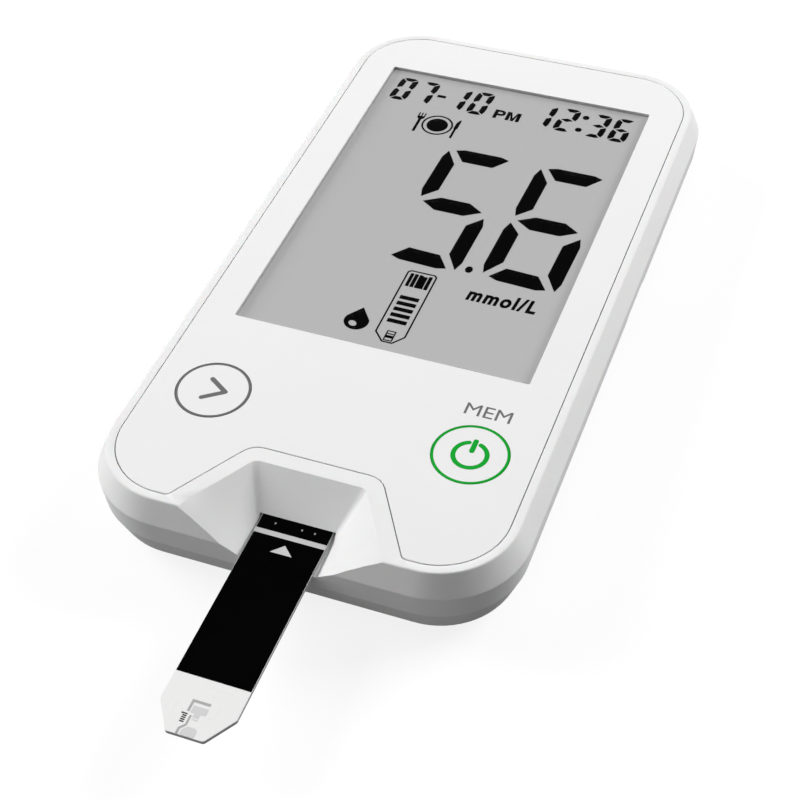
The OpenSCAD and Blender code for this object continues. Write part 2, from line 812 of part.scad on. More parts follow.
module key_switches() {
    color("#2a2a2c") at_keys() difference() {
        union() {
            translate([0, 0, board_top]) linear_extrude(switch_h) box_outline(switch_w, switch_w, 0.5);
            for (x = [-1, 1], side = [0, 1]) mirror([0, side, 0])
                across(x * (switch_w / 2 - 0.6), 0.7)
                    polygon([
                        [switch_w / 2 - 0.2, board_top], [switch_w / 2 + 0.7, board_top],
                        [switch_w / 2 + 0.7, board_top + 0.15], [switch_w / 2 - 0.2, board_top + 0.15]
                    ]);
        }
        translate([0, 0, board_top + switch_floor])
            cylinder(d = plunger_d + 2 * 0.05, h = switch_h);
    }
}

// ------------------------------------------------------------------ strip port

module strip_connector() {
    deep = socket_back - socket_front;
    color("#1e1e20") difference() {
        union() {
            translate([-socket_w / 2, socket_front, board_top])
                cube([socket_w, deep, socket_top - board_top]);
            for (side = [0, 1]) mirror([side, 0, 0])
                translate([socket_w / 2 - 0.1, socket_back - 2.6, board_top]) cube([1.5, 1.8, 0.8]);
        }
        // the pocket for the strip, with a bevelled entry
        translate([-channel_w / 2, socket_front - over, channel_z])
            cube([channel_w, insert_y + fit_gap - socket_front + over, slit_h]);
        across(0, channel_w) polygon([
            [socket_front - 0.1, channel_z + slit_h - 0.1],
            [socket_front - 0.1, channel_z + slit_h + 0.45],
            [socket_front + 0.5, channel_z + slit_h - 0.1]
        ]);
        for (i = [0:contact_count - 1])
            translate([(i - (contact_count - 1) / 2) * contact_pitch - comb_w / 2, socket_front + 0.7,
                       channel_z + slit_h - 0.1])
                cube([comb_w, deep, socket_roof + over]);
    }
}

// Sprung fingers that touch the strip's bare end and are soldered behind the connector
module strip_contacts() {
    touch_z = strip_z + strip_t + seat_gap + contact_t / 2;
    crown_z = socket_top - 0.35;
    color("#d9b35a") for (i = [0:contact_count - 1])
        across((i - (contact_count - 1) / 2) * contact_pitch, contact_w) polygon(ribbon([
            [socket_front + 1.1, touch_z + 0.3],
            [socket_front + 1.7, touch_z],
            [socket_front + 2.3, touch_z + 0.15],
            [socket_back - 0.4, crown_z],
            [socket_back + 0.25, crown_z],
            [socket_back + 0.45, board_top + contact_t / 2],
            [socket_back + 1.4, board_top + contact_t / 2]
        ], contact_t));
}

// ------------------------------------------------------------------ data port

// The five-sided mouth of the data socket, moved inwards by inset
module usb_outline(inset) {
    w = usb_w / 2 - inset;
    h = usb_h / 2 - inset;
    polygon(rounded([
        [w, h, 0.3], [-w, h, 0.3], [-w, -h * 0.3, 0.3],
        [-w + 0.9, -h, 0.3], [w - 0.9, -h, 0.3], [w, -h * 0.3, 0.3]
    ]));
}

module usb_shell() {
    color("#c6c8ca") translate([usb_face - usb_l, port_y, usb_z]) {
        rotate([90, 0, 90]) difference() {
            linear_extrude(usb_l) usb_outline(0);
            translate([0, 0, usb_skin]) linear_extrude(usb_l) usb_outline(usb_skin);
        }
        for (y = [-1, 1], x = [1, usb_l - 2]) translate([x, y * (usb_w / 2 + 0.3) - 0.5, usb_h / 2 - 0.2])
            cube([1.2, 1, 0.25]);
    }
}

module usb_tongue() {
    color("#202124") translate([usb_face - usb_l + usb_skin + seat_gap, port_y, usb_z]) {
        translate([0, -2.6, -0.75]) cube([1, 5.2, 1.5]);
        translate([0.9, -1.8, -0.1]) cube([usb_l - 2, 3.6, 0.5]);
        for (i = [-2:2]) translate([0.9, i * 0.65 - 0.15, -0.18]) cube([usb_l - 2.4, 0.3, 0.1]);
    }
}

// ------------------------------------------------------------------ battery

module coin_cell() {
    r = cell_d / 2;
    color("#d0d0ce") translate([0, cell_y, cell_z]) rotate_extrude() polygon([
        [0, 0], [r - 0.35, 0], [r, 0.35], [r, cell_t - 0.75], [r - 0.5, cell_t - 0.45],
        [r - 1.2, cell_t - 0.4], [r - 1.5, cell_t], [0, cell_t]
    ]);
}

// A leaf beside the cell's rim, with a foot on the board
module cell_positive_contact() {
    r = cell_d / 2 + 0.03;
    color("#c9b36a") translate([0, cell_y, 0]) rotate([0, 0, 165]) rotate_extrude(angle = 30) polygon([
        [r, cell_z + 0.7], [r + 0.15, cell_z + 0.7], [r + 0.15, board_z - 0.15],
        [r + 1.2, board_z - 0.15], [r + 1.2, board_z], [r, board_z]
    ]);
}

// A bowed leaf between the cell and the board
module cell_negative_contact() {
    low = cell_z + cell_t + seat_gap + leaf_t / 2;
    high = board_z - leaf_t / 2;
    color("#c9b36a") across(0, leaf_w) polygon(ribbon([
        [cell_y - leaf_bow - leaf_foot, high],
        [cell_y - leaf_bow, high],
        [cell_y - leaf_bow / 3, low],
        [cell_y + leaf_bow / 3, low],
        [cell_y + leaf_bow, high],
        [cell_y + leaf_bow + leaf_slide, high]
    ], leaf_t));
}

module battery_cover() {
    color("#ebebe9") difference() {
        union() {
            translate([0, cell_y, cover_recess]) linear_extrude(cover_t)
                box_outline(cover_w, cover_l, cover_r);
            // the hooks that swing under the floor's edge
            for (x = [-hook_x, hook_x]) across(x, hook_w) polygon([
                [hinge_y - hook_out, hook_z], [hinge_y, hook_z], [hinge_y, cover_z - 0.2],
                [hinge_y + hook_root, cover_z - 0.2], [hinge_y + hook_root, hook_z + hook_t],
                [hinge_y - hook_out, hook_z + hook_t]
            ]);
            // the ribs that press on the cell
            for (x = [-4, 4]) translate([x - 0.5, cell_y - 6, cover_z - 0.1])
                cube([1, 12, rib_h + 0.1 - seat_gap]);
            // the snap rib on the free end's tab
            translate([-tab_w / 2 + 0.5, free_y - 0.3, cover_recess + 0.7]) rotate([0, 90, 0])
                cylinder(r = 0.38, h = tab_w - 1, $fn = 24);
        }
        for (x = [-tab_w / 2 - tab_slit, tab_w / 2])
            translate([x, free_y - tab_l, cover_recess - over])
                cube([tab_slit, tab_l + over, cover_t + 2 * over]);
    }
}

// ------------------------------------------------------------------ fasteners

module cross_recess(w, depth) {
    for (a = [0, 90]) rotate([0, 0, a]) translate([-w / 2, -w / 8, -0.01]) cube([w, w / 4, depth]);
}

module housing_screws() {
    color("#9a9c9e") at_bosses() difference() {
        rotate_extrude() polygon([
            [0, head_seat - screw_head_h], [screw_head_d / 2 - 0.4, head_seat - screw_head_h],
            [screw_head_d / 2, head_seat - screw_head_h + 0.4], [screw_head_d / 2, head_seat],
            [screw_d / 2, head_seat], [screw_d / 2, head_seat + screw_l - 0.6],
            [0.2, head_seat + screw_l], [0, head_seat + screw_l]
        ]);
        translate([0, 0, head_seat - screw_head_h]) cross_recess(screw_head_d * 0.55, 0.55);
    }
}

module board_screws() {
    color("#a8a9ab") at_board_screws() difference() {
        rotate_extrude() polygon([
            [0, board_z - board_head_h], [board_head_r - board_head_edge, board_z - board_head_h],
            [board_head_r, board_z - board_head_h + board_head_edge], [board_head_r, board_z],
            [board_screw_d / 2, board_z], [board_screw_d / 2, board_z + board_screw_l - 0.4],
            [0, board_z + board_screw_l]
        ]);
        translate([0, 0, board_z - board_head_h]) cross_recess(1.3, 0.4);
    }
}

// ------------------------------------------------------------------ test strip

// The strip's outline from y = low, where it is cut straight, or from its tip
module strip_outline(high) {
    half = strip_w / 2;
    polygon(rounded([
        [-half, high, 0.2], [half, high, 0.2],
        [half, tip_y + tip_l, 0.4], [tip_w / 2, tip_y, 0.4],
        [-tip_w / 2, tip_y, 0.4], [-half, tip_y + tip_l, 0.4]
    ]));
}

module strip_base() {
    color("#f4f4f2") translate([0, 0, strip_z]) linear_extrude(strip_t - spacer_t - strip_film_t)
        strip_outline(insert_y);
}

module strip_spacer() {
    color("#e4e6e4") translate([0, 0, strip_z + strip_t - spacer_t - strip_film_t])
        linear_extrude(spacer_t) difference() {
            strip_outline(insert_y - bare_l);
            translate([-blood_w / 2, tip_y - over]) square([blood_w, blood_l + over]);
            translate([-blood_w / 2 - 1.2, tip_y + blood_l - blood_w]) square([1.3, blood_w]);
        }
}

module strip_cover() {
    color("#101012") translate([0, 0, strip_z + strip_t - strip_film_t])
        linear_extrude(strip_film_t) strip_outline(insert_y - bare_l);
}

top_shell();
bottom_shell();
front_panel();
display_window();
display_gasket();
lcd_front_glass();
lcd_rear_glass();
lcd_reflector();
display_frame();
lcd_connector();
main_board();
processor_chip();
memory_chip();
clock_crystal();
temperature_sensor();
buzzer();
next_key();
power_key();
next_switch_plunger();
power_switch_plunger();
key_switches();
strip_connector();
strip_contacts();
usb_shell();
usb_tongue();
coin_cell();
cell_positive_contact();
cell_negative_contact();
battery_cover();
housing_screws();
board_screws();
strip_base();
strip_spacer();
strip_cover();
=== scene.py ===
import json
import math

import bmesh
import bpy
from mathutils import Matrix, Vector
from mathutils.geometry import tessellate_polygon


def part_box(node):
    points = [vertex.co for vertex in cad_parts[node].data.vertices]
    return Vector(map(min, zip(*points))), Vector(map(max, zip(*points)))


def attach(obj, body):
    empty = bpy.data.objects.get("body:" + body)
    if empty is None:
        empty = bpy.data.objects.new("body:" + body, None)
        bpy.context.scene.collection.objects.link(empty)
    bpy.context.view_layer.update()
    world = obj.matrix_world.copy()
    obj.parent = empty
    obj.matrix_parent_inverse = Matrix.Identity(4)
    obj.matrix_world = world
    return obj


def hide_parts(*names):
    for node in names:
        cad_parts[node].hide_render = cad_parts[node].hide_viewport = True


# A blood glucose meter with a test strip in its port.
# Sizes are in millimetres until a mesh is made; the frame is in metres.
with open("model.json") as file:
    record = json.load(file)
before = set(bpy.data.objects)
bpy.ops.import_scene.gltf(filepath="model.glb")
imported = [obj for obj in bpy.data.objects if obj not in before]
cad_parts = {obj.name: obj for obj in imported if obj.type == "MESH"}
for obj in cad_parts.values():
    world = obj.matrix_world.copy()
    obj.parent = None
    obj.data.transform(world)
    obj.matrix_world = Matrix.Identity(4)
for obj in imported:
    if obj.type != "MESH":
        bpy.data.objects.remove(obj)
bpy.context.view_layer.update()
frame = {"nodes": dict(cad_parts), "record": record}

MM = 0.001
PER_METRE = 1000.0
INK = 0.01          # thickness of printed ink
BAR_INK = 0.02      # thickness of the display's dark segments
AT_FACE = 0.001     # points this close under the face count as in its plane


def place_of(name):
    """Lowest and highest corner of a solid, in millimetres."""
    low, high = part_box(name)
    return low / MM, high / MM


def middle_of(name):
    low, high = place_of(name)
    return (low + high) / 2


def half_width_above(name, z):
    """Half the width of what a solid has above a height, in millimetres."""
    xs = [v.co.x / MM for v in frame["nodes"][name].data.vertices if v.co.z / MM > z]
    return (max(xs) - min(xs)) / 2


panel_low, panel_high = place_of("front_panel")
window_low, window_high = place_of("display_window")
window_mid = middle_of("display_window")
next_mid = middle_of("next_key")
power_mid = middle_of("power_key")
strip_low, strip_high = place_of("strip_cover")
picture_z = place_of("lcd_front_glass")[1].z
face = panel_high.z
key_chamfer = 0.06
key_gap = 0.07
key_r = half_width_above("power_key", face - 2 * key_chamfer)


def new_object(name, data):
    """A new object in the scene."""
    made = bpy.data.objects.new(name, data)
    bpy.context.scene.collection.objects.link(made)
    return made


# ---------------------------------------------------------------- shader tools

def node(tree, kind, inputs=None, **settings):
    """A new shader node. Each input is a value, or the socket that feeds it."""
    made = tree.nodes.new("ShaderNode" + kind)
    for key, value in settings.items():
        setattr(made, key, value)
    for key, value in (inputs or {}).items():
        if isinstance(value, bpy.types.NodeSocket):
            tree.links.new(value, made.inputs[key])
        else:
            made.inputs[key].default_value = value
    return made


def math_node(tree, operation, a, b=0.0):
    return node(tree, "Math", {0: a, 1: b}, operation=operation).outputs[0]


def ramp(tree, value, low, high, to_low=0.0, to_high=1.0):
    """Maps low..high to to_low..to_high, with soft ends."""
    made = node(tree, "MapRange", {
        "Value": value, "From Min": low, "From Max": high, "To Min": to_low, "To Max": to_high,
    }, interpolation_type="SMOOTHSTEP")
    return made.outputs["Result"]


def grey(level):
    return (level, level, level, 1.0)


def tint(tree, factor, a, b):
    """Mixes colour a towards colour b."""
    made = node(tree, "Mix", {"Factor": factor, "A": a, "B": b}, data_type="RGBA")
    return made.outputs["Result"]


def new_group(name, inputs, outputs):
    """An empty shader group. inputs maps names to (kind, value); outputs maps names to kinds."""
    tree = bpy.data.node_groups.new(name, "ShaderNodeTree")
    for key, (kind, value) in inputs.items():
        socket = tree.interface.new_socket(key, in_out="INPUT", socket_type="NodeSocket" + kind)
        if value is not None:
            socket.default_value = value
    for key, kind in outputs.items():
        tree.interface.new_socket(key, in_out="OUTPUT", socket_type="NodeSocket" + kind)
    return tree, tree.nodes.new("NodeGroupInput"), tree.nodes.new("NodeGroupOutput")


def place_group(tree, group, inputs):
    """A shader group as a node of a material."""
    return node(tree, "Group", inputs, node_tree=group)


# ---------------------------------------------------------------- shared effects

def moulded_grain_group():
    """The fine skin of a moulded or coated surface, with slow drifts in tone and gloss. Grain
    and Drift are sizes in millimetres."""
    tree, given, result = new_group("moulded_grain", {
        "Vector": ("Vector", None), "Grain": ("Float", 0.25), "Drift": ("Float", 9.0),
    }, {"Height": "Float", "Tone": "Float", "Gloss": "Float"})
    grain_scale = math_node(tree, "DIVIDE", PER_METRE, given.outputs["Grain"])
    drift_scale = math_node(tree, "DIVIDE", PER_METRE, given.outputs["Drift"])
    grain = node(tree, "TexNoise", {
        "Vector": given.outputs["Vector"], "Scale": grain_scale, "Detail": 2.0, "Roughness": 0.55,
    })
    drift = node(tree, "TexNoise", {
        "Vector": given.outputs["Vector"], "Scale": drift_scale, "Detail": 3.0, "Roughness": 0.5,
    })
    smear = node(tree, "TexNoise", {
        "Vector": given.outputs["Vector"], "Scale": math_node(tree, "MULTIPLY", drift_scale, 3.0),
        "Detail": 4.0, "Roughness": 0.6, "Distortion": 0.8,
    })
    tree.links.new(grain.outputs["Fac"], result.inputs["Height"])
    tree.links.new(ramp(tree, drift.outputs["Fac"], 0.35, 0.65), result.inputs["Tone"])
    tree.links.new(ramp(tree, smear.outputs["Fac"], 0.35, 0.7), result.inputs["Gloss"])
    return tree


def brushed_group():
    """Fine parallel scratches along X, for rolled or drawn metal. Pitch is in millimetres."""
    tree, given, result = new_group("brushed_lines", {
        "Vector": ("Vector", None), "Pitch": ("Float", 0.08), "Stretch": ("Float", 30.0),
    }, {"Height": "Float", "Tone": "Float"})
    scale = math_node(tree, "DIVIDE", PER_METRE, given.outputs["Pitch"])
    along = math_node(tree, "DIVIDE", scale, given.outputs["Stretch"])
    stretch = node(tree, "CombineXYZ", {"X": along, "Y": scale, "Z": scale})
    stretched = node(tree, "VectorMath", {0: given.outputs["Vector"], 1: stretch.outputs[0]},
                     operation="MULTIPLY")
    lines = node(tree, "TexNoise", {"Vector": stretched.outputs[0], "Scale": 1.0, "Detail": 2.0})
    tree.links.new(lines.outputs["Fac"], result.inputs["Height"])
    tree.links.new(ramp(tree, lines.outputs["Fac"], 0.3, 0.7), result.inputs["Tone"])
    return tree


grain_group = moulded_grain_group()
lines_group = brushed_group()


def new_material(name):
    """An empty material and its tree."""
    made = bpy.data.materials.new(name)
    made.use_nodes = True
    made.node_tree.nodes.clear()
    return made, made.node_tree


def finish_material(tree, shader):
    node(tree, "OutputMaterial", {"Surface": shader})


def object_place(tree):
    return node(tree, "TexCoord").outputs["Object"]


def skin_of(tree, grain, drift=9.0):
    """The moulded grain, read from the piece's own coordinates."""
    return place_group(tree, grain_group, {
        "Vector": object_place(tree), "Grain": grain, "Drift": drift,
    })


def bump(tree, height, strength, distance):
    """A normal from a height; distance is the relief in millimetres."""
    made = node(tree, "Bump", {"Height": height, "Strength": strength, "Distance": distance * MM})
    return made.outputs["Normal"]


def lighter(colour, share):
    return tuple(min(1.0, c * (1 + share)) for c in colour[:3]) + (1.0,)


def coated(name, colour, roughness, relief, vary, grain=0.25, specular=0.5, subsurface=0.0):
    """Moulded plastic, ink, film or lacquer. vary is how far its tone drifts either way."""
    made, tree = new_material(name)
    skin = skin_of(tree, grain)
    base = tint(tree, skin.outputs["Tone"], lighter(colour, -vary), lighter(colour, vary))
    gloss = ramp(tree, skin.outputs["Gloss"], 0.0, 1.0, roughness - 0.03, roughness + 0.04)
    shader = node(tree, "BsdfPrincipled", {
        "Base Color": base, "Roughness": gloss, "Specular IOR Level": specular,
        "Normal": bump(tree, skin.outputs["Height"], 0.5, relief),
        "Subsurface Weight": subsurface, "Subsurface Scale": 0.0004,
    })
    finish_material(tree, shader.outputs[0])
    return made


def metal(name, colour, roughness, pitch, stretch):
    """Rolled, drawn or turned metal with fine lines; stretch is their length over their pitch."""
    made, tree = new_material(name)
    lines = place_group(tree, lines_group, {
        "Vector": object_place(tree), "Pitch": pitch, "Stretch": stretch,
    })
    base = tint(tree, lines.outputs["Tone"], lighter(colour, -0.1), lighter(colour, 0.06))
    gloss = ramp(tree, lines.outputs["Tone"], 0.0, 1.0, roughness, roughness + 0.1)
    shader = node(tree, "BsdfPrincipled", {
        "Base Color": base, "Roughness": gloss, "Metallic": 1.0,
        "Normal": bump(tree, lines.outputs["Height"], 0.5, 0.002),
    })
    finish_material(tree, shader.outputs[0])
    return made


def levelness(tree):
    """1 on level faces and 0 on upright ones."""
    facing = node(tree, "SeparateXYZ", {0: node(tree, "NewGeometry").outputs["True Normal"]})
    return ramp(tree, math_node(tree, "ABSOLUTE", facing.outputs["Z"]), 0.3, 0.7)


def film(name, colour, edge):
    """A cut film: its level faces have one colour, and its upright cut edges a darker one, which is
    painted shade.
    """
    made, tree = new_material(name)
    skin = skin_of(tree, 0.4)
    faces = tint(tree, skin.outputs["Tone"], lighter(colour, -0.005), lighter(colour, 0.005))
    # painted shade: the upright cut edges take the darker edge colour
    base = tint(tree, levelness(tree), edge, faces)
    shader = node(tree, "BsdfPrincipled", {
        "Base Color": base, "Roughness": ramp(tree, skin.outputs["Gloss"], 0.0, 1.0, 0.27, 0.34),
        "Normal": bump(tree, skin.outputs["Height"], 0.5, 0.002),
    })
    finish_material(tree, shader.outputs[0])
    return made


def clear_window_material():
    """Clear acrylic that lets lamps through to the display, with its cut edges bonded in grey."""
    made, tree = new_material("clear_acrylic")
    skin = skin_of(tree, 1.5, 14.0)
    clear = node(tree, "BsdfPrincipled", {
        "Base Color": grey(1.0), "Transmission Weight": 1.0, "IOR": 1.49,
        "Roughness": ramp(tree, skin.outputs["Gloss"], 0.0, 1.0, 0.0, 0.03),
    })
    through = node(tree, "BsdfTransparent", {"Color": grey(0.96)})
    rays = node(tree, "LightPath")
    lamp_ray = math_node(tree, "MAXIMUM", rays.outputs["Is Shadow Ray"],
                         rays.outputs["Is Diffuse Ray"])
    face_on = node(tree, "MixShader", {0: lamp_ray, 1: clear.outputs[0], 2: through.outputs[0]})
    bond = node(tree, "BsdfDiffuse", {"Color": grey(bond_grey)})
    shader = node(tree, "MixShader",
                  {0: levelness(tree), 1: bond.outputs[0], 2: face_on.outputs[0]})
    finish_material(tree, shader.outputs[0])
    return made


def display_face_material():
    """The polariser over the display: even grey with a fine pearly grain, and a painted glow that
    lightens its shade, most of all along the window's edge.
    """
    made, tree = new_material("polariser")
    skin = skin_of(tree, 0.12, 25.0)
    # a darker base grey, so that with the painted glow below it reads as the display's grey
    tone = grey(0.277)
    base = tint(tree, skin.outputs["Tone"], lighter(tone, -0.006), lighter(tone, 0.006))
    shader = node(tree, "BsdfPrincipled", {
        "Base Color": base, "Roughness": ramp(tree, skin.outputs["Height"], 0.3, 0.7, 0.5, 0.6),
        "Specular IOR Level": 0.2, "Normal": bump(tree, skin.outputs["Height"], 0.3, 0.002),
        # painted glow: the display is no lamp; this emission evens out its grey and lightens the
        # shade cast by the window's edge
        "Emission Color": grey(1.0), "Emission Strength": 0.26,
    })
    finish_material(tree, shader.outputs[0])
    return made


def layered_rubber_material():
    """The display connector's thin dark layers in pale silicone."""
    made, tree = new_material("layered_silicone")
    bands = 100.0       # makes a dark layer about every 3 mm
    layers = node(tree, "TexWave", {
        "Vector": object_place(tree), "Scale": bands, "Distortion": 0.0,
    }, wave_type="BANDS", bands_direction="X")
    dark = ramp(tree, layers.outputs["Fac"], 0.3, 0.7)
    base = tint(tree, dark, (0.05, 0.05, 0.055, 1.0), (0.55, 0.56, 0.6, 1.0))
    shader = node(tree, "BsdfPrincipled", {
        "Base Color": base, "Roughness": 0.6,
        "Normal": bump(tree, layers.outputs["Fac"], 0.3, 0.01),
    })
    finish_material(tree, shader.outputs[0])
    return made


def circuit_board_material():
    """Green solder mask over a maze of tracks."""
    made, tree = new_material("solder_mask")
    place = object_place(tree)
    track_pitch, field_size = 2.2, 7.0
    tracks = node(tree, "TexBrick", {
        "Vector": place, "Scale": PER_METRE / track_pitch, "Mortar Size": 0.09,
        "Mortar Smooth": 0.2, "Color1": grey(0.0), "Color2": grey(0.0), "Mortar": grey(1.0),
    }, offset=0.37, squash=1.6, squash_frequency=3)
    fields = node(tree, "TexVoronoi", {"Vector": place, "Scale": PER_METRE / field_size},
                  feature="F1", distance="MANHATTAN")
    raised = math_node(tree, "MULTIPLY", tracks.outputs["Fac"],
                       ramp(tree, fields.outputs["Distance"], 0.3, 0.34))
    skin = skin_of(tree, 0.3, 12.0)
    mask = tint(tree, raised, (0.012, 0.085, 0.03, 1.0), (0.03, 0.19, 0.06, 1.0))
    base = tint(tree, math_node(tree, "MULTIPLY", skin.outputs["Tone"], 0.3), mask,
                (0.01, 0.06, 0.025, 1.0))
    shader = node(tree, "BsdfPrincipled", {
        "Base Color": base, "Roughness": 0.3, "Coat Weight": 0.4, "Coat Roughness": 0.1,
        "Normal": bump(tree, raised, 0.6, 0.03),
    })
    finish_material(tree, shader.outputs[0])
    return made


bond_grey = 0.49        # the bond round the window, in its gap and on its cut edges

shell_white = coated("shell_plastic", grey(0.845), 0.42, relief=0.003, vary=0.006, specular=0.4,
                     subsurface=0.05)
base_white = coated("base_plastic", (0.76, 0.76, 0.755), 0.48, relief=0.01, vary=0.01,
                    grain=0.35, specular=0.35, subsurface=0.05)
panel_white = coated("panel_overlay", grey(0.85), 0.44, relief=0.003, vary=0.004, grain=0.15)
key_white = coated("key_overlay", grey(0.85), 0.42, relief=0.003, vary=0.004, grain=0.15)
grey_ink = coated("grey_ink", grey(0.16), 0.45, relief=0.002, vary=0.03, grain=0.12, specular=0.2)
green_ink = coated("green_ink", (0.009, 0.37, 0.033), 0.45, relief=0.002, vary=0.03,
                   grain=0.12, specular=0.15)
bar_black = coated("display_segment", grey(0.0012), 0.6, relief=0.001, vary=0.1, specular=0.0)
gasket_dark = coated("adhesive_gasket", grey(0.36), 0.8, relief=0.02, vary=0.05, grain=0.2,
                     specular=0.2)
frame_plastic = coated("frame_plastic", (0.72, 0.72, 0.7), 0.45, relief=0.01, vary=0.02)
dark_plastic = coated("dark_plastic", (0.018, 0.018, 0.02), 0.4, relief=0.01, vary=0.08)
chip_epoxy = coated("chip_epoxy", (0.022, 0.023, 0.025), 0.55, relief=0.012, vary=0.1, grain=0.12)
plunger_plastic = coated("plunger_plastic", (0.66, 0.42, 0.06), 0.45, relief=0.006, vary=0.03)
# grey(0.3) is painted shade on the strip film's upright cut edges
strip_film = film("strip_film", (0.86, 0.86, 0.855), grey(0.3))
window_bond = coated("window_bond", grey(bond_grey), 0.6, relief=0.002, vary=0.01, specular=0.2)
# dark grey for the strip in the panel's groove: painted shade where the groove lies in shade
groove_shade_grey = coated("groove_shade_grey", grey(0.15), 0.8, relief=0.01, vary=0.03, specular=0.1)
spacer_film = coated("spacer_film", (0.62, 0.63, 0.63), 0.35, relief=0.003, vary=0.02, grain=0.3)
strip_black = coated("strip_black", (0.0012, 0.0012, 0.0013), 0.4, relief=0.002, vary=0.1,
                     grain=0.3, specular=0.025)
carbon_print = coated("carbon_print", (0.03, 0.03, 0.032), 0.5, relief=0.006, vary=0.1,
                      grain=0.15, specular=0.3)
strip_mark = coated("strip_mark", grey(0.62), 0.4, relief=0.002, vary=0.02, grain=0.2)
strip_grey = coated("strip_grey", grey(0.42), 0.4, relief=0.002, vary=0.03, grain=0.2)
strip_pale = coated("strip_pale", grey(0.66), 0.4, relief=0.002, vary=0.02, grain=0.2)
glass_edge = coated("display_glass", (0.42, 0.46, 0.45), 0.12, relief=0.0, vary=0.02)
reflector = metal("reflector_film", (0.72, 0.72, 0.7), 0.35, pitch=0.05, stretch=6.0)
tinned = metal("tinned_steel", (0.66, 0.67, 0.68), 0.3, pitch=0.12, stretch=8.0)
screw_steel = metal("screw_steel", (0.5, 0.5, 0.51), 0.28, pitch=0.05, stretch=4.0)
cell_steel = metal("cell_steel", (0.62, 0.62, 0.61), 0.24, pitch=0.06, stretch=40.0)
gold = metal("gold_plate", (0.85, 0.6, 0.26), 0.25, pitch=0.06, stretch=12.0)
clear_window = clear_window_material()
display_face = display_face_material()
layered_rubber = layered_rubber_material()
board_green = circuit_board_material()


# ---------------------------------------------------------------- mesh tools

def new_piece(name, mesh, body, material):
    """Links a finished mesh as a piece that rides on a body."""
    piece = new_object(name, mesh)
    if not mesh.materials:
        mesh.materials.append(material)
    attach(piece, body)
    return piece


def mesh_from(bm, name, smooth=35):
    """A mesh of a bmesh: closed, faces outwards, and shaded with edges sharp past an angle."""
    bmesh.ops.remove_doubles(bm, verts=bm.verts, dist=1e-8)
    bmesh.ops.recalc_face_normals(bm, faces=bm.faces)
    mesh = bpy.data.meshes.new(name)
    bm.to_mesh(mesh)
    bm.free()
    for stored in [a for a in mesh.attributes if a.name == "custom_normal"]:
        mesh.attributes.remove(stored)
    mesh.shade_smooth()
    mesh.set_sharp_from_angle(angle=math.radians(smooth))
    return mesh


def add_plate(bm, loops, z, thickness):
    """A flat plate from loops of [x, y]: the first is its outline and the rest are holes."""
    flat = [[Vector((x, y, 0)) for x, y in loop] for loop in loops]
    faces = tessellate_polygon(flat)
    points = [p for loop in flat for p in loop]
    low = [bm.verts.new((p.x * MM, p.y * MM, z * MM)) for p in points]
    high = [bm.verts.new((p.x * MM, p.y * MM, (z + thickness) * MM)) for p in points]
    for a, b, c in faces:
        if len({a, b, c}) == 3:
            bm.faces.new((high[a], high[b], high[c]))
            bm.faces.new((low[c], low[b], low[a]))
    start = 0
    for loop in flat:
        count = len(loop)
        for i in range(count):
            a, b = start + i, start + (i + 1) % count
            bm.faces.new((low[a], low[b], high[b], high[a]))
        start += count


def printed(name, shapes, z, body, material, thickness=INK):
    """Thin printed shapes on a level face. Each shape is a list of loops."""
    bm = bmesh.new()
    for loops in shapes:
        add_plate(bm, loops, z, thickness)
    new_piece(name, mesh_from(bm, name), body, material)


def turned(name, profile, centre, body, material, steps=96):
    """A piece turned from a profile of [radius, z] round a vertical line through centre."""
    bm = bmesh.new()
    rings = []
    for i in range(steps):
        turn = 2 * math.pi * i / steps
        rings.append([bm.verts.new(((centre[0] + r * math.cos(turn)) * MM,
                                    (centre[1] + r * math.sin(turn)) * MM, z * MM))
                      for r, z in profile])
    for i in range(steps):
        a, b = rings[i], rings[(i + 1) % steps]
        for j in range(len(profile)):
            k = (j + 1) % len(profile)
            bm.faces.new((a[j], b[j], b[k], a[k]))
    new_piece(name, mesh_from(bm, name, 20), body, material)


def arc(centre, radius, start, end, steps):
    """Points on an arc, with angles in degrees."""
    turns = [math.radians(start + (end - start) * i / steps) for i in range(steps + 1)]
    return [(centre[0] + radius * math.cos(t), centre[1] + radius * math.sin(t)) for t in turns]


def oval(centre, rx, ry, steps=28, tilt=0.0):
    c, s = math.cos(math.radians(tilt)), math.sin(math.radians(tilt))
    points = []
    for i in range(steps):
        t = 2 * math.pi * i / steps
        x, y = rx * math.cos(t), ry * math.sin(t)
        points.append((centre[0] + c * x - s * y, centre[1] + s * x + c * y))
    return points


def rectangle(x0, y0, x1, y1):
    return [(x0, y0), (x1, y0), (x1, y1), (x0, y1)]


def offset_side(path, closed, i):
    """The direction square to a path at point i, stretched for its corner."""
    least = 0.3         # keeps a sharp corner's stretch in bounds
    count = len(path)
    here = Vector(path[i])
    before = Vector(path[i - 1]) if closed or i > 0 else None
    after = Vector(path[(i + 1) % count]) if closed or i < count - 1 else None
    u = (here - before).normalized() if before else (after - here).normalized()
    v = (after - here).normalized() if after else u
    along = (u + v).normalized()
    return Vector((-along.y, along.x)) / max(least, along.dot(u))


def stroke(path, width, steps=8):
    """The outline of a line of even width with round ends."""
    side = [offset_side(path, False, i) * width / 2 for i in range(len(path))]
    left = [(p[0] + s.x, p[1] + s.y) for p, s in zip(path, side)]
    right = [(p[0] - s.x, p[1] - s.y) for p, s in zip(path, side)]

    def cap(at, first):
        start = math.degrees(math.atan2(first.y, first.x))
        return arc(at, width / 2, start, start - 180, steps)[1:-1]

    return left + cap(path[-1], side[-1]) + right[::-1] + cap(path[0], -side[0])


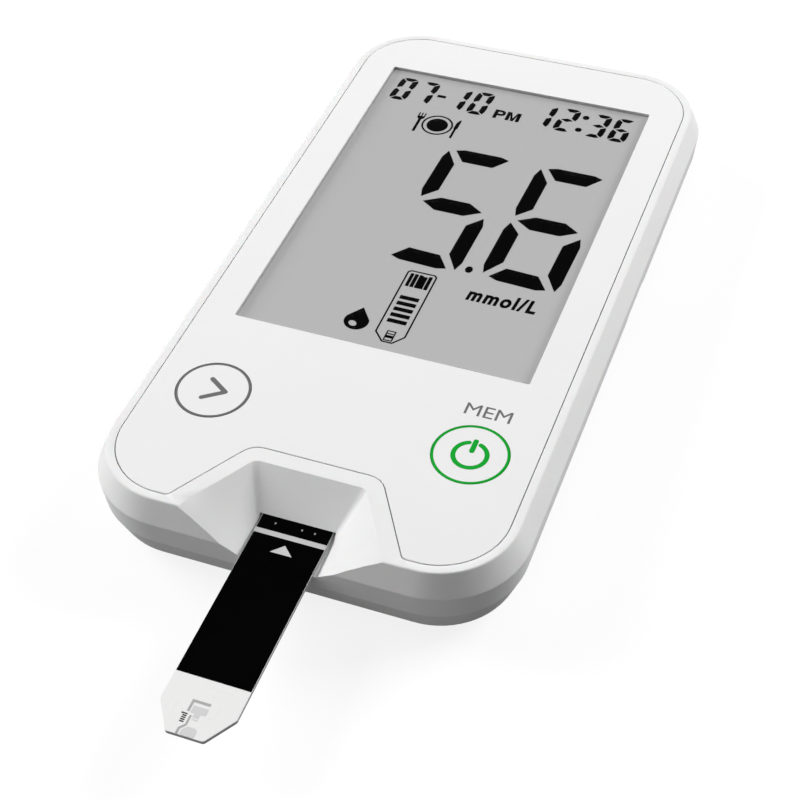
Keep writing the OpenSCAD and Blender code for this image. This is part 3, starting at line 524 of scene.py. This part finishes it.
def elbow(first, corner, last, width, steps=10):
    """The outline of a line of even width round one corner, turning right, with round ends."""
    sides = []
    for a, b in [(first, corner), (corner, last)]:
        along = (Vector(b) - Vector(a)).normalized()
        sides.append(Vector((-along.y, along.x)) * width / 2)
    turns = [math.degrees(math.atan2(side.y, side.x)) for side in sides]
    out = (sides[0] + sides[1]).normalized()
    inner = Vector(corner) - out * (width / 2) / out.dot(sides[0].normalized())
    return (arc(first, width / 2, turns[0] + 180, turns[0], steps)
            + arc(corner, width / 2, turns[0], turns[1], steps)
            + arc(last, width / 2, turns[1], turns[1] - 180, steps) + [tuple(inner)])


def outline(path, width):
    """The two loops of a closed line of even width."""
    side = [offset_side(path, True, i) * width / 2 for i in range(len(path))]
    return [[(p[0] - s.x, p[1] - s.y) for p, s in zip(path, side)],
            [(p[0] + s.x, p[1] + s.y) for p, s in zip(path, side)]]


def lettering(name, text, left, baseline, width, height, z, slant=0.0, bold=0.0, spread=1.0):
    """Plain lettering as a flat mesh that fills a box; it isn't yet a piece."""
    curve = bpy.data.curves.new(name, "FONT")
    curve.body = text
    curve.shear = slant
    curve.offset = bold
    curve.space_character = spread
    curve.resolution_u = 5
    holder = new_object(name, curve)
    bpy.context.view_layer.update()
    seen = holder.evaluated_get(bpy.context.evaluated_depsgraph_get())
    flat = bpy.data.meshes.new_from_object(seen)
    bpy.data.objects.remove(holder)
    bpy.data.curves.remove(curve)
    xs, ys = [v.co.x for v in flat.vertices], [v.co.y for v in flat.vertices]
    grow_x, grow_y = width / (max(xs) - min(xs)), height / (max(ys) - min(0.0, min(ys)))
    for v in flat.vertices:
        v.co = Vector(((left + (v.co.x - min(xs)) * grow_x) * MM,
                       (baseline + v.co.y * grow_y) * MM, z * MM))
    return flat


def lettering_piece(name, flat, body, material, thickness=INK):
    """Gives flat lettering its thickness and makes it a piece."""
    bm = bmesh.new()
    bm.from_mesh(flat)
    bpy.data.meshes.remove(flat)
    bmesh.ops.remove_doubles(bm, verts=bm.verts, dist=1e-7)
    made = bmesh.ops.extrude_face_region(bm, geom=bm.faces[:])
    for v in [g for g in made["geom"] if isinstance(g, bmesh.types.BMVert)]:
        v.co.z += thickness * MM
    new_piece(name, mesh_from(bm, name), body, material)


# ---------------------------------------------------------------- repeated bars

def bar_row_tree():
    """A geometry tree that repeats a bar, with its inputs' identifiers by name."""
    tree = bpy.data.node_groups.new("bar_row", "GeometryNodeTree")
    keys = {}
    for key, kind in [("Count", "Int"), ("Start", "Vector"), ("Step", "Vector"), ("Size", "Vector"),
                      ("Finish", "Material")]:
        keys[key] = tree.interface.new_socket(key, in_out="INPUT",
                                              socket_type="NodeSocket" + kind).identifier
    tree.interface.new_socket("Geometry", in_out="OUTPUT", socket_type="NodeSocketGeometry")
    given, result = tree.nodes.new("NodeGroupInput"), tree.nodes.new("NodeGroupOutput")
    line = tree.nodes.new("GeometryNodeMeshLine")
    line.mode = "OFFSET"
    bar = tree.nodes.new("GeometryNodeMeshCube")
    placed = tree.nodes.new("GeometryNodeInstanceOnPoints")
    whole = tree.nodes.new("GeometryNodeRealizeInstances")
    finish = tree.nodes.new("GeometryNodeSetMaterial")
    for source, target in [
            (given.outputs["Count"], line.inputs["Count"]),
            (given.outputs["Start"], line.inputs["Start Location"]),
            (given.outputs["Step"], line.inputs["Offset"]),
            (given.outputs["Size"], bar.inputs["Size"]),
            (line.outputs["Mesh"], placed.inputs["Points"]),
            (bar.outputs["Mesh"], placed.inputs["Instance"]),
            (placed.outputs["Instances"], whole.inputs["Geometry"]),
            (whole.outputs["Geometry"], finish.inputs["Geometry"]),
            (given.outputs["Finish"], finish.inputs["Material"]),
            (finish.outputs["Geometry"], result.inputs["Geometry"])]:
        tree.links.new(source, target)
    return tree, keys


bar_tree, bar_keys = bar_row_tree()


def bar_row(name, count, first, step, size, z, body, material, thickness=INK):
    """A row of equal bars on a level face: first and step are [x, y] of their middles, size is
    [width, length]."""
    holder = new_object(name, bpy.data.meshes.new(name))
    row = holder.modifiers.new("bar_row", "NODES")
    row.node_group = bar_tree
    row[bar_keys["Count"]] = count
    row[bar_keys["Start"]] = tuple(v * MM for v in (*first, z + thickness / 2))
    row[bar_keys["Step"]] = tuple(v * MM for v in (*step, 0.0))
    row[bar_keys["Size"]] = tuple(v * MM for v in (*size, thickness))
    row[bar_keys["Finish"]] = material
    seen = holder.evaluated_get(bpy.context.evaluated_depsgraph_get())
    mesh = bpy.data.meshes.new_from_object(seen)
    holder.modifiers.remove(row)
    bpy.data.objects.remove(holder)
    new_piece(name, mesh, body, material)


# ---------------------------------------------------------------- display picture

# Which of its seven bars each sign lights: a top, b and c right, d foot, e and f left, g middle
LIT = {
    "0": "abcdef", "1": "bc", "2": "abdeg", "3": "abcdg", "5": "acdfg", "6": "acdefg", "7": "abc",
}


def digit_bars(sign, centre, width, height, bar, beam, gap, reach, slant, sag=0.0):
    """The outlines of a sign's lit bars. bar is the width of its uprights, beam that of its
    levels, reach how far the top and foot run out over the uprights, and sag how far the lower
    right upright hangs down."""
    x0, x1 = width / 2, width / 2 - bar
    y0, y1 = height / 2, height / 2 - beam
    ends = x1 + reach
    top = [(-ends, y0 - 0.2 * bar), (0.55 * bar - ends, y0), (ends - 0.55 * bar, y0),
           (ends, y0 - 0.2 * bar), (x1 - gap, y1), (gap - x1, y1)]
    upright = [(0.2 * bar - x0, y0 - 0.35 * bar), (-x1, y1 - gap), (-x1, beam / 2 + 1.8 * gap),
               (0.2 * bar - x0, gap), (-x0, gap + 0.7 * bar), (-x0, y0 - 1.05 * bar)]
    tip, edge = x0 - 0.52 * bar, x1 - 0.45 * bar
    level = [(-tip, 0), (-edge, beam / 2), (edge, beam / 2), (tip, 0), (edge, -beam / 2),
             (-edge, -beam / 2)]
    forms = {
        "a": top, "d": [(x - 0.4 * sag, -y - sag * (0.4 + 0.18 * x)) for x, y in top],
        "g": [(x * (1 + 0.1 * sag), y * (1 + 0.15 * sag)) for x, y in level], "f": upright,
        "b": [(-x, y) for x, y in upright],
        "e": [(x - 0.3 * sag, 0.6 * sag - y) for x, y in upright],
        "c": [(0.4 * sag - x, -y * (1 + 0.1 * sag) - sag) for x, y in upright],
    }
    return [[[(centre[0] + x + slant * y, centre[1] + y) for x, y in forms[bar_name]]]
            for bar_name in LIT[sign]]


# The picture's own zero, seen through the window, lies here from the window's middle
picture_x = window_mid.x - 0.18
picture_y = window_mid.y - 9.86

big_size = {"width": 9.9, "height": 23.4, "bar": 2.1, "beam": 2.5, "gap": 0.8, "reach": 0.8,
            "slant": 0.03, "sag": 0.25}
small_size = {"width": 2.5, "height": 5.24, "bar": 0.8, "beam": 0.7, "gap": 0.09, "reach": 0.46,
              "slant": 0.087}
big_y = 10.6
small_y = 32.9


def at_picture(shapes):
    return [[[(x + picture_x, y + picture_y) for x, y in loop] for loop in loops]
            for loops in shapes]


def reading_shapes():
    """The big reading with its decimal point."""
    point = oval((5.47, -0.24), 0.47, 0.6)
    return (digit_bars("5", (-0.46, big_y), **big_size)
            + digit_bars("6", (12.19, big_y), **big_size) + [[point]])


def clock_shapes():
    """The date and the time in small digits."""
    shapes = []
    for sign, x in [("0", -15.2), ("7", -12.0), ("1", -7.26), ("0", -4.05),
                    ("1", 4.97), ("2", 8.17), ("3", 12.52), ("6", 15.67)]:
        shapes += digit_bars(sign, (x, small_y), **small_size)
    dash = rectangle(-10.24, 32.5, -9.05, 33.05)
    colon = [oval(dot, 0.46, 0.46, 18) for dot in [(10.45, 34.2), (10.2, 31.3)]]
    return shapes + [[dash]] + [[dot] for dot in colon]


def meal_shapes():
    """A plate between a fork and a knife."""
    plate = (-8.05, 26.4)
    fork = [(0.19, -2.2), (0.19, 0.6), (0.5, 0.9), (0.5, 2.05), (0.33, 2.05), (0.33, 1.3),
            (0.085, 1.3), (0.085, 2.05)]
    fork = fork + [(-x, y) for x, y in fork[::-1]]
    knife = [(-0.16, -2.2), (0.16, -2.2), (0.16, -0.1), (0.3, 0), (0.3, 2.0), (0.05, 1.9),
             (-0.2, 1.2), (-0.25, 0), (-0.16, -0.1)]
    return [
        [oval(plate, 2.15, 2.15, 48), oval(plate, 1.9, 1.9, 48)],
        [oval(plate, 1.45, 1.45, 40)],
        [[(plate[0] - 2.7 + x, plate[1] + y) for x, y in fork]],
        [[(plate[0] + 2.55 + x, plate[1] + y) for x, y in knife]],
    ]


def strip_sign_shapes():
    """A test strip with its contacts and a drop beside its tip."""
    left, right, top, low = -1.4, 2.24, -2.66, -15.5
    body = [(left + 0.3, top), (left, top - 0.3), (left, -14.1), (left + 1.27, low),
            (right - 1.11, low), (right, -14.1), (right, top - 0.3), (right - 0.3, top)]
    shapes = [outline(body, 0.2)]
    contact_low, contact_high, notch = -5.49, -3.07, 0.18
    for x0, x1 in [(-0.97, -0.54), (-0.41, 0.06), (1.37, 1.84)]:
        shapes.append([rectangle(x0, contact_low, x1, contact_high)])
    shapes.append([[(0.19, contact_low), (1.25, contact_low), (1.25, contact_high - notch),
                    (0.67, contact_high - notch), (0.67, contact_high), (0.19, contact_high)]])
    shapes.append(outline(rectangle(-0.05, -15.2, 0.95, -13.6)[::-1], 0.15))
    shapes.append([rectangle(0.02, -14.78, 0.88, -14.33)])
    shapes.append([rectangle(0.02, -14.14, 0.88, -13.98)])
    drop_x, drop_y, drop_r = -4.2, -13.2, 1.52
    drop = [(drop_x, -10.74)] + arc((drop_x, drop_y), drop_r, 22, -202, 26)
    shapes.append([drop, oval((drop_x - 0.31, drop_y - 0.52), 0.55, 0.43, 20, -30)])
    return shapes


def half_day_shapes():
    """The bold letters P and M."""
    left, low, high, stem = -1.63, 30.37, 1.93, 0.5
    p_wide, bowl = 0.95, 0.62
    p_out = [(0, 0), (0, high), (p_wide, high)] + arc((p_wide, high - bowl), bowl, 84, -90, 8)
    p_out += [(stem, high - 2 * bowl), (stem, 0)]
    inner = bowl - 0.42
    p_hole = [(stem, high - bowl - inner), (p_wide, high - bowl - inner)]
    p_hole += arc((p_wide, high - bowl), inner, -84, 90, 8) + [(stem, high - bowl + inner)]
    m_at, m_wide, dip, foot = 1.76, 1.92, 0.62, 0.17
    half = [(m_wide / 2, 0), (m_wide / 2, high), (m_wide / 2 - 0.56, high), (0, dip)]
    inside = [(foot, 0), (m_wide / 2 - stem + 0.02, high - dip), (m_wide / 2 - stem + 0.02, 0)]
    m = half + [(-x, y) for x, y in half[-2::-1]] + [(-x, y) for x, y in inside[::-1]] + inside
    return [
        [[(left + x, low + y) for x, y in p_out], [(left + x, low + y) for x, y in p_hole]],
        [[(left + m_at + m_wide / 2 + x, low + y) for x, y in m]],
    ]


def make_display_picture():
    for name, shapes in [("reading_digits", reading_shapes()), ("clock_digits", clock_shapes()),
                         ("half_day_sign", half_day_shapes()), ("meal_sign", meal_shapes()),
                         ("strip_sign", strip_sign_shapes())]:
        printed(name, at_picture(shapes), picture_z, "meter", bar_black, BAR_INK)
    bar_row("strip_sign_bars", 5, (0.4 + picture_x, -7.54 + picture_y), (0, -1.07), (2.42, 0.64),
            picture_z, "meter", bar_black, BAR_INK)
    unit = lettering("unit_sign", "mmol/L", 6.74 + picture_x, -5.4 + picture_y, 8.66, 2.38,
                     picture_z, 0.12, 0.04, 1.2)
    lettering_piece("unit_sign", unit, "meter", bar_black, BAR_INK)


# ---------------------------------------------------------------- key prints

def key_ring(name, centre, body, material):
    """The coloured ring that runs over a key's edge and chamfer."""
    width, skirt = 0.29, 0.004
    turned(name, [(key_r - width, face), (key_r - key_chamfer, face),
                  (key_r, face - key_chamfer), (key_r + skirt, face - key_chamfer),
                  (key_r - key_chamfer + INK / 2, face + INK), (key_r - width, face + INK)],
           centre, body, material)


def hole_ring(name, centre, material):
    """The same ink in the gap round a key, so that the ring has no dark outline."""
    inner, outer = key_r + 0.012, key_r + key_gap - 0.002
    deep, high = face - 0.3, face - 0.005
    turned(name, [(inner, deep), (outer, deep), (outer, high), (inner, high)], centre, "meter",
           material)


def make_key_prints():
    key_ring("next_ring", next_mid, "next_button", grey_ink)
    key_ring("power_ring", power_mid, "power_button", green_ink)
    hole_ring("next_ring_edge", next_mid, grey_ink)
    hole_ring("power_ring_edge", power_mid, green_ink)
    x, y = next_mid.x, next_mid.y
    arrow = elbow((x - 0.78, y + 1.58), (x + 1.46, y + 0.1), (x - 0.78, y - 1.52), 0.58)
    printed("next_arrow", [[arrow]], face, "next_button", grey_ink)
    x, y = power_mid.x, power_mid.y
    ring = arc((x, y - 0.12), 1.87, 111, 429, 44)
    bar = [(x, y + 2.03), (x, y + 0.5)]
    printed("power_sign", [[stroke(ring, 0.54)], [stroke(bar, 0.6)]], face, "power_button",
            green_ink)
    word = lettering("memory_word", "MEM", x - 2.75, y + 5.7, 5.36, 1.75, face)
    lettering_piece("memory_word", word, "meter", grey_ink)


# ---------------------------------------------------------------- test strip print

def make_strip_print():
    """The strip's black field, arrow and stripe, and the marks round its blood channel."""
    z = strip_high.z
    edge, back = strip_high.x - 0.03, strip_high.y - 0.05
    tip = strip_low.y
    band_end, arrow, stripe, ticks_y = tip + 6.8, tip + 23.9, tip + 26.3, tip + 27.6
    half_stripe = 0.33

    def ink(name, shapes, material):
        printed(name, shapes, z, "test_strip", material)

    def from_tip(loops):
        return [[[(x, tip + y) for x, y in loop]] for loop in loops]

    field = rectangle(-edge, band_end, edge, stripe - half_stripe)
    triangle = [(-1.35, arrow), (1.2, arrow), (-0.08, arrow + 1.25)]
    ticks = [rectangle(x - 0.08, ticks_y, x + 0.08, ticks_y + 0.24) for x in [-2.3, 0.8, 2.3]]
    behind = rectangle(-edge, stripe + half_stripe, edge, back)
    across = rectangle(-edge, stripe - half_stripe, edge, stripe + half_stripe)
    ink("strip_field", [[field, triangle[::-1]], [behind] + ticks], strip_black)
    ink("strip_stripe", [[across], [triangle]], strip_mark)
    ink("strip_ticks", [[tick] for tick in ticks], strip_grey)
    ink("strip_channel_line", from_tip([
        [(-1.0, 4.2), (1.0, 4.2), (1.0, 3.9), (-0.74, 3.9), (-0.74, 2.75), (-1.0, 2.75)],
        [(-0.5, 2.4), (-0.28, 2.4), (-0.28, 1.2), (-0.74, 0.65), (-0.74, 0.02), (-1.0, 0.02),
         (-1.0, 0.75), (-0.5, 1.3)],
    ]), strip_grey)
    ink("strip_scale_end", from_tip([rectangle(-1.42, 2.37, -1.22, 2.51)]), strip_black)
    bar_row("strip_scale", 5, (-1.0, tip + 2.44), (0, -0.24), (0.46, 0.14), z, "test_strip",
            strip_black)
    ink("strip_cells", from_tip([
        [(-0.6, 3.55), (1.05, 3.55), (1.05, 2.7), (0.5, 2.7), (0.5, 2.2), (-0.15, 2.2),
         (-0.15, 2.7), (-0.6, 2.7)],
        rectangle(-0.1, 1.93, 0.5, 2.05)[::-1],
        [(-0.55, 0.03), (1.0, 0.03), (1.0, 0.85), (0.7, 1.1), (-0.1, 1.1), (-0.55, 0.6)],
    ]), strip_pale)
    base_high = place_of("strip_base")[1]
    bare, pitch, width, margin = base_high.y - strip_high.y, 1.4, 0.95, 0.25
    bar_row("strip_tracks", 5, (-2 * pitch, strip_high.y + bare / 2), (pitch, 0),
            (width, bare - 2 * margin), base_high.z, "test_strip", carbon_print)


# ---------------------------------------------------------------- housing

# The plan's corner centres, the seam's radius about them and height, and the lean under it
corner_x, corner_y = 14.85, 37.45
seam_r = 9.83
seam_z = face - 6.05
flank_lean = math.radians(21)


def merged_copy(name):
    """A copy of a solid's mesh with its triangles joined up and its flat faces whole."""
    weld, flat = 2e-7, math.radians(0.3)
    bm = bmesh.new()
    bm.from_mesh(frame["nodes"][name].data)
    bmesh.ops.remove_doubles(bm, verts=bm.verts, dist=weld)
    bmesh.ops.dissolve_limit(bm, angle_limit=flat, verts=bm.verts, edges=bm.edges)
    return bm


def round_rim(bm, width):
    """Rounds the sharp edges that lie in the face's plane."""
    sharp = math.radians(30)
    edges = [e for e in bm.edges if len(e.link_faces) == 2 and e.calc_face_angle(0) > sharp
             and all(v.co.z / MM > face - AT_FACE for v in e.verts)]
    bmesh.ops.bevel(bm, geom=edges, offset=width * MM, offset_type="OFFSET", segments=2,
                    profile=0.5, affect="EDGES", clamp_overlap=False)


def body_of_node(name):
    bodies = frame["record"]["behaviour"]["bodies"]
    return next(body for body, members in bodies.items() if name in members)


def lean_flank(bm):
    """Planes the side under the seam to a face that leans in, as far as the curve below it."""
    for v in bm.verts:
        x, y, z = v.co / MM
        if z > seam_z + 0.001:
            continue
        out = Vector((max(abs(x) - corner_x, 0), max(abs(y) - corner_y, 0)))
        reach = seam_r - (seam_z - z) * math.tan(flank_lean)
        if out.length > reach:
            out *= reach / out.length
            if abs(x) > corner_x:
                v.co.x = math.copysign(corner_x + out.x, x) * MM
            if abs(y) > corner_y:
                v.co.y = math.copysign(corner_y + out.y, y) * MM


def dressed(name, material, rim=0.0, shape=None):
    """A finer copy of a solid, which stands for it; its rim is the radius given to the sharp
    edges in the face's plane."""
    bm = merged_copy(name)
    if shape:
        shape(bm)
    if rim:
        round_rim(bm, rim)
    bmesh.ops.triangulate(bm, faces=[f for f in bm.faces if len(f.verts) > 4])
    mesh = mesh_from(bm, name, 32)
    piece = new_piece(name + "_finish", mesh, body_of_node(name), material)
    weighted = piece.modifiers.new("even_shading", "WEIGHTED_NORMAL")
    weighted.keep_sharp = True
    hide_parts(name)


def rounded_box(low, high, out, radius, steps=6):
    """A box's outline, grown by a margin and with round corners."""
    x0, y0 = (v - out + radius for v in (low.x, low.y))
    x1, y1 = (v + out - radius for v in (high.x, high.y))
    points = []
    for i, corner in enumerate([(x1, y1), (x0, y1), (x0, y0), (x1, y0)]):
        points += arc(corner, radius, 90 * i, 90 * (i + 1), steps)
    return points


def panel_outline():
    """The panel's outer edge as a loop of [x, y], going anticlockwise."""
    bm = merged_copy("front_panel")
    top = [f for f in bm.faces
           if f.normal.z > 0.9 and f.calc_center_median().z / MM > face - AT_FACE]
    follows = {}
    for f in top:
        for loop in f.loops:
            if all(other == f or other not in top for other in loop.edge.link_faces):
                follows[loop.vert] = loop.link_loop_next.vert
    loops = []
    while follows:
        here = next(iter(follows))
        path = []
        while here in follows:
            path.append((here.co.x / MM, here.co.y / MM))
            here = follows.pop(here)
        loops.append(path)
    bm.free()
    return max(loops, key=max)


def make_joint_lines():
    """What fills the narrow gaps: a grey bond round the window, and a dark strip of painted shade
    in the groove round the panel.
    """
    deep = face - panel_low.z
    clear, window_gap = 0.005, 0.06
    ring = [rounded_box(window_low, window_high, window_gap - clear, 0.25),
            rounded_box(window_low, window_high, clear, 0.2)]
    printed("window_bond_line", [ring], panel_low.z + clear, "meter", window_bond,
            deep - 2 * clear)
    # the groove strip is a dark sheet of painted shade in the groove round the panel
    groove, line, under, sunk = 0.12, 0.11, 0.05, 0.12
    path = panel_outline()
    sides = [offset_side(path, True, i) * groove / 2 for i in range(len(path))]
    middle = [(p[0] - side.x, p[1] - side.y) for p, side in zip(path, sides)]
    printed("panel_groove_shade", [outline(middle, line)], panel_low.z + under, "meter",
            groove_shade_grey, deep - under - sunk)


def make_housing():
    dressed("top_shell", shell_white, rim=0.05)
    dressed("bottom_shell", base_white, shape=lean_flank)
    dressed("front_panel", panel_white, rim=0.04)
    dressed("battery_cover", base_white)
    dressed("next_key", key_white)
    dressed("power_key", key_white)


# ---------------------------------------------------------------- solids that keep their own mesh

FINISHES = {
    "display_window": clear_window, "display_gasket": gasket_dark, "lcd_front_glass": display_face,
    "lcd_rear_glass": glass_edge, "lcd_reflector": reflector, "display_frame": frame_plastic,
    "lcd_connector": layered_rubber, "main_board": board_green, "processor_chip": chip_epoxy,
    "memory_chip": chip_epoxy, "clock_crystal": tinned, "temperature_sensor": chip_epoxy,
    "buzzer": dark_plastic, "next_switch_plunger": plunger_plastic,
    "power_switch_plunger": plunger_plastic, "key_switches": dark_plastic,
    "strip_connector": dark_plastic, "strip_contacts": gold, "usb_shell": tinned,
    "usb_tongue": dark_plastic, "coin_cell": cell_steel, "cell_positive_contact": gold,
    "cell_negative_contact": gold, "housing_screws": screw_steel, "board_screws": screw_steel,
    "strip_base": strip_film, "strip_spacer": spacer_film, "strip_cover": strip_film,
}


def finish_solids():
    for name, material in FINISHES.items():
        mesh = frame["nodes"][name].data
        mesh.materials.clear()
        mesh.materials.append(material)


# ---------------------------------------------------------------- studio

def make_floor():
    """A pale floor that the camera sees as near white, with the object's soft shadow on it."""
    half_size = 3.0
    bounce_grey, seen_grey = 0.1, 0.2
    mirrored_glow, middle_glow, far_glow = 0.3, 0.84, 1.0
    near, far = 0.3, 1.0
    bm = bmesh.new()
    bmesh.ops.create_grid(bm, x_segments=1, y_segments=1, size=half_size)
    mesh = bpy.data.meshes.new("floor")
    bm.to_mesh(mesh)
    bm.free()
    floor = new_object("floor", mesh)
    made, tree = new_material("floor_paper")
    rays = node(tree, "LightPath")
    looked_at = math_node(tree, "MAXIMUM", rays.outputs["Is Camera Ray"],
                          rays.outputs["Is Transmission Ray"])
    seen = math_node(tree, "MAXIMUM", looked_at, rays.outputs["Is Glossy Ray"])
    paper = node(tree, "BsdfDiffuse", {
        "Color": tint(tree, seen, grey(bounce_grey), grey(seen_grey)),
    })
    away = node(tree, "VectorMath", {0: object_place(tree)}, operation="LENGTH").outputs["Value"]
    mirrored = math_node(tree, "MULTIPLY", rays.outputs["Is Glossy Ray"], mirrored_glow)
    shown = math_node(tree, "MULTIPLY", looked_at,
                      ramp(tree, away, near, far, middle_glow, far_glow))
    glow = node(tree, "Emission", {"Strength": math_node(tree, "MAXIMUM", mirrored, shown)})
    both = node(tree, "AddShader", {0: paper.outputs[0], 1: glow.outputs[0]})
    finish_material(tree, both.outputs[0])
    mesh.materials.append(made)


def make_world():
    """A white backdrop round the horizon and a dim ceiling, which show in metal and glass. The
    camera sees plain white, and everything else gets only a little light from all round."""
    air, ceiling = 0.045, 0.02
    backdrop_top, ceiling_edge = 0.35, 0.6
    world = bpy.data.worlds.new("studio_air")
    bpy.context.scene.world = world
    world.use_nodes = True
    tree = world.node_tree
    tree.nodes.clear()
    rays = node(tree, "LightPath")
    around = node(tree, "TexCoord").outputs["Generated"]
    height = node(tree, "SeparateXYZ", {0: around}).outputs["Z"]
    backdrop = ramp(tree, height, backdrop_top, ceiling_edge, 1.0, ceiling)
    mirrored = math_node(tree, "MAXIMUM", rays.outputs["Is Glossy Ray"],
                         rays.outputs["Is Transmission Ray"])
    unseen = ramp(tree, mirrored, 0.0, 1.0, air, 0.0)
    shown = math_node(tree, "MULTIPLY", mirrored, backdrop)
    level = math_node(tree, "MAXIMUM", math_node(tree, "ADD", unseen, shown),
                      rays.outputs["Is Camera Ray"])
    light = node(tree, "Background", {"Color": grey(1.0), "Strength": level})
    node(tree, "OutputWorld", {"Surface": light.outputs[0]})


def make_lamps():
    """Square lamps that gloss and glass don't show, with sizes in metres and power in watts."""
    aim = Vector((0.0, 0.0, 0.005))
    for name, place, size, power in [
            ("overhead_lamp", (0.0, 0.1, 0.75), 0.6, 0.15),
            ("left_lamp", (-0.56, 0.0, 0.32), 0.4, 4.4),
            ("right_lamp", (0.43, 0.41, 0.36), 0.4, 5.1),
            ("front_lamp", (-0.1, -0.61, 0.17), 0.4, 0.8)]:
        lamp = bpy.data.lights.new(name, "AREA")
        lamp.size = size
        lamp.energy = power
        holder = new_object(name, lamp)
        holder.location = place
        holder.rotation_euler = (aim - Vector(place)).to_track_quat("-Z", "Y").to_euler()
        holder.visible_glossy = False
        holder.visible_transmission = False


def make_camera():
    """The camera turns about its aim by azimuth, elevation and a small roll, in degrees."""
    azimuth, elevation, roll = 21.94, 45.32, -2.22
    aim = Vector((5.27, -23.89, 11.0)) * MM
    distance = 187.8 * MM
    focal_length = 75.19
    a, e, r = (math.radians(v) for v in (azimuth, elevation, roll))
    right = Vector((math.cos(a), math.sin(a), 0))
    back = Vector((math.sin(a) * math.cos(e), -math.cos(a) * math.cos(e), math.sin(e)))
    up = back.cross(right)
    turned_right = math.cos(r) * right + math.sin(r) * up
    turned_up = back.cross(turned_right)
    lens = bpy.data.cameras.new("camera")
    lens.lens = focal_length
    lens.clip_start = 0.01
    camera = new_object("camera", lens)
    turn = Matrix((turned_right, turned_up, back)).transposed().to_4x4()
    camera.matrix_world = Matrix.Translation(aim + back * distance) @ turn
    bpy.context.scene.camera = camera


make_display_picture()
make_key_prints()
make_strip_print()
make_housing()
make_joint_lines()
finish_solids()
make_floor()
make_world()
make_lamps()
make_camera()
bpy.context.scene.view_settings.view_transform = "Standard"
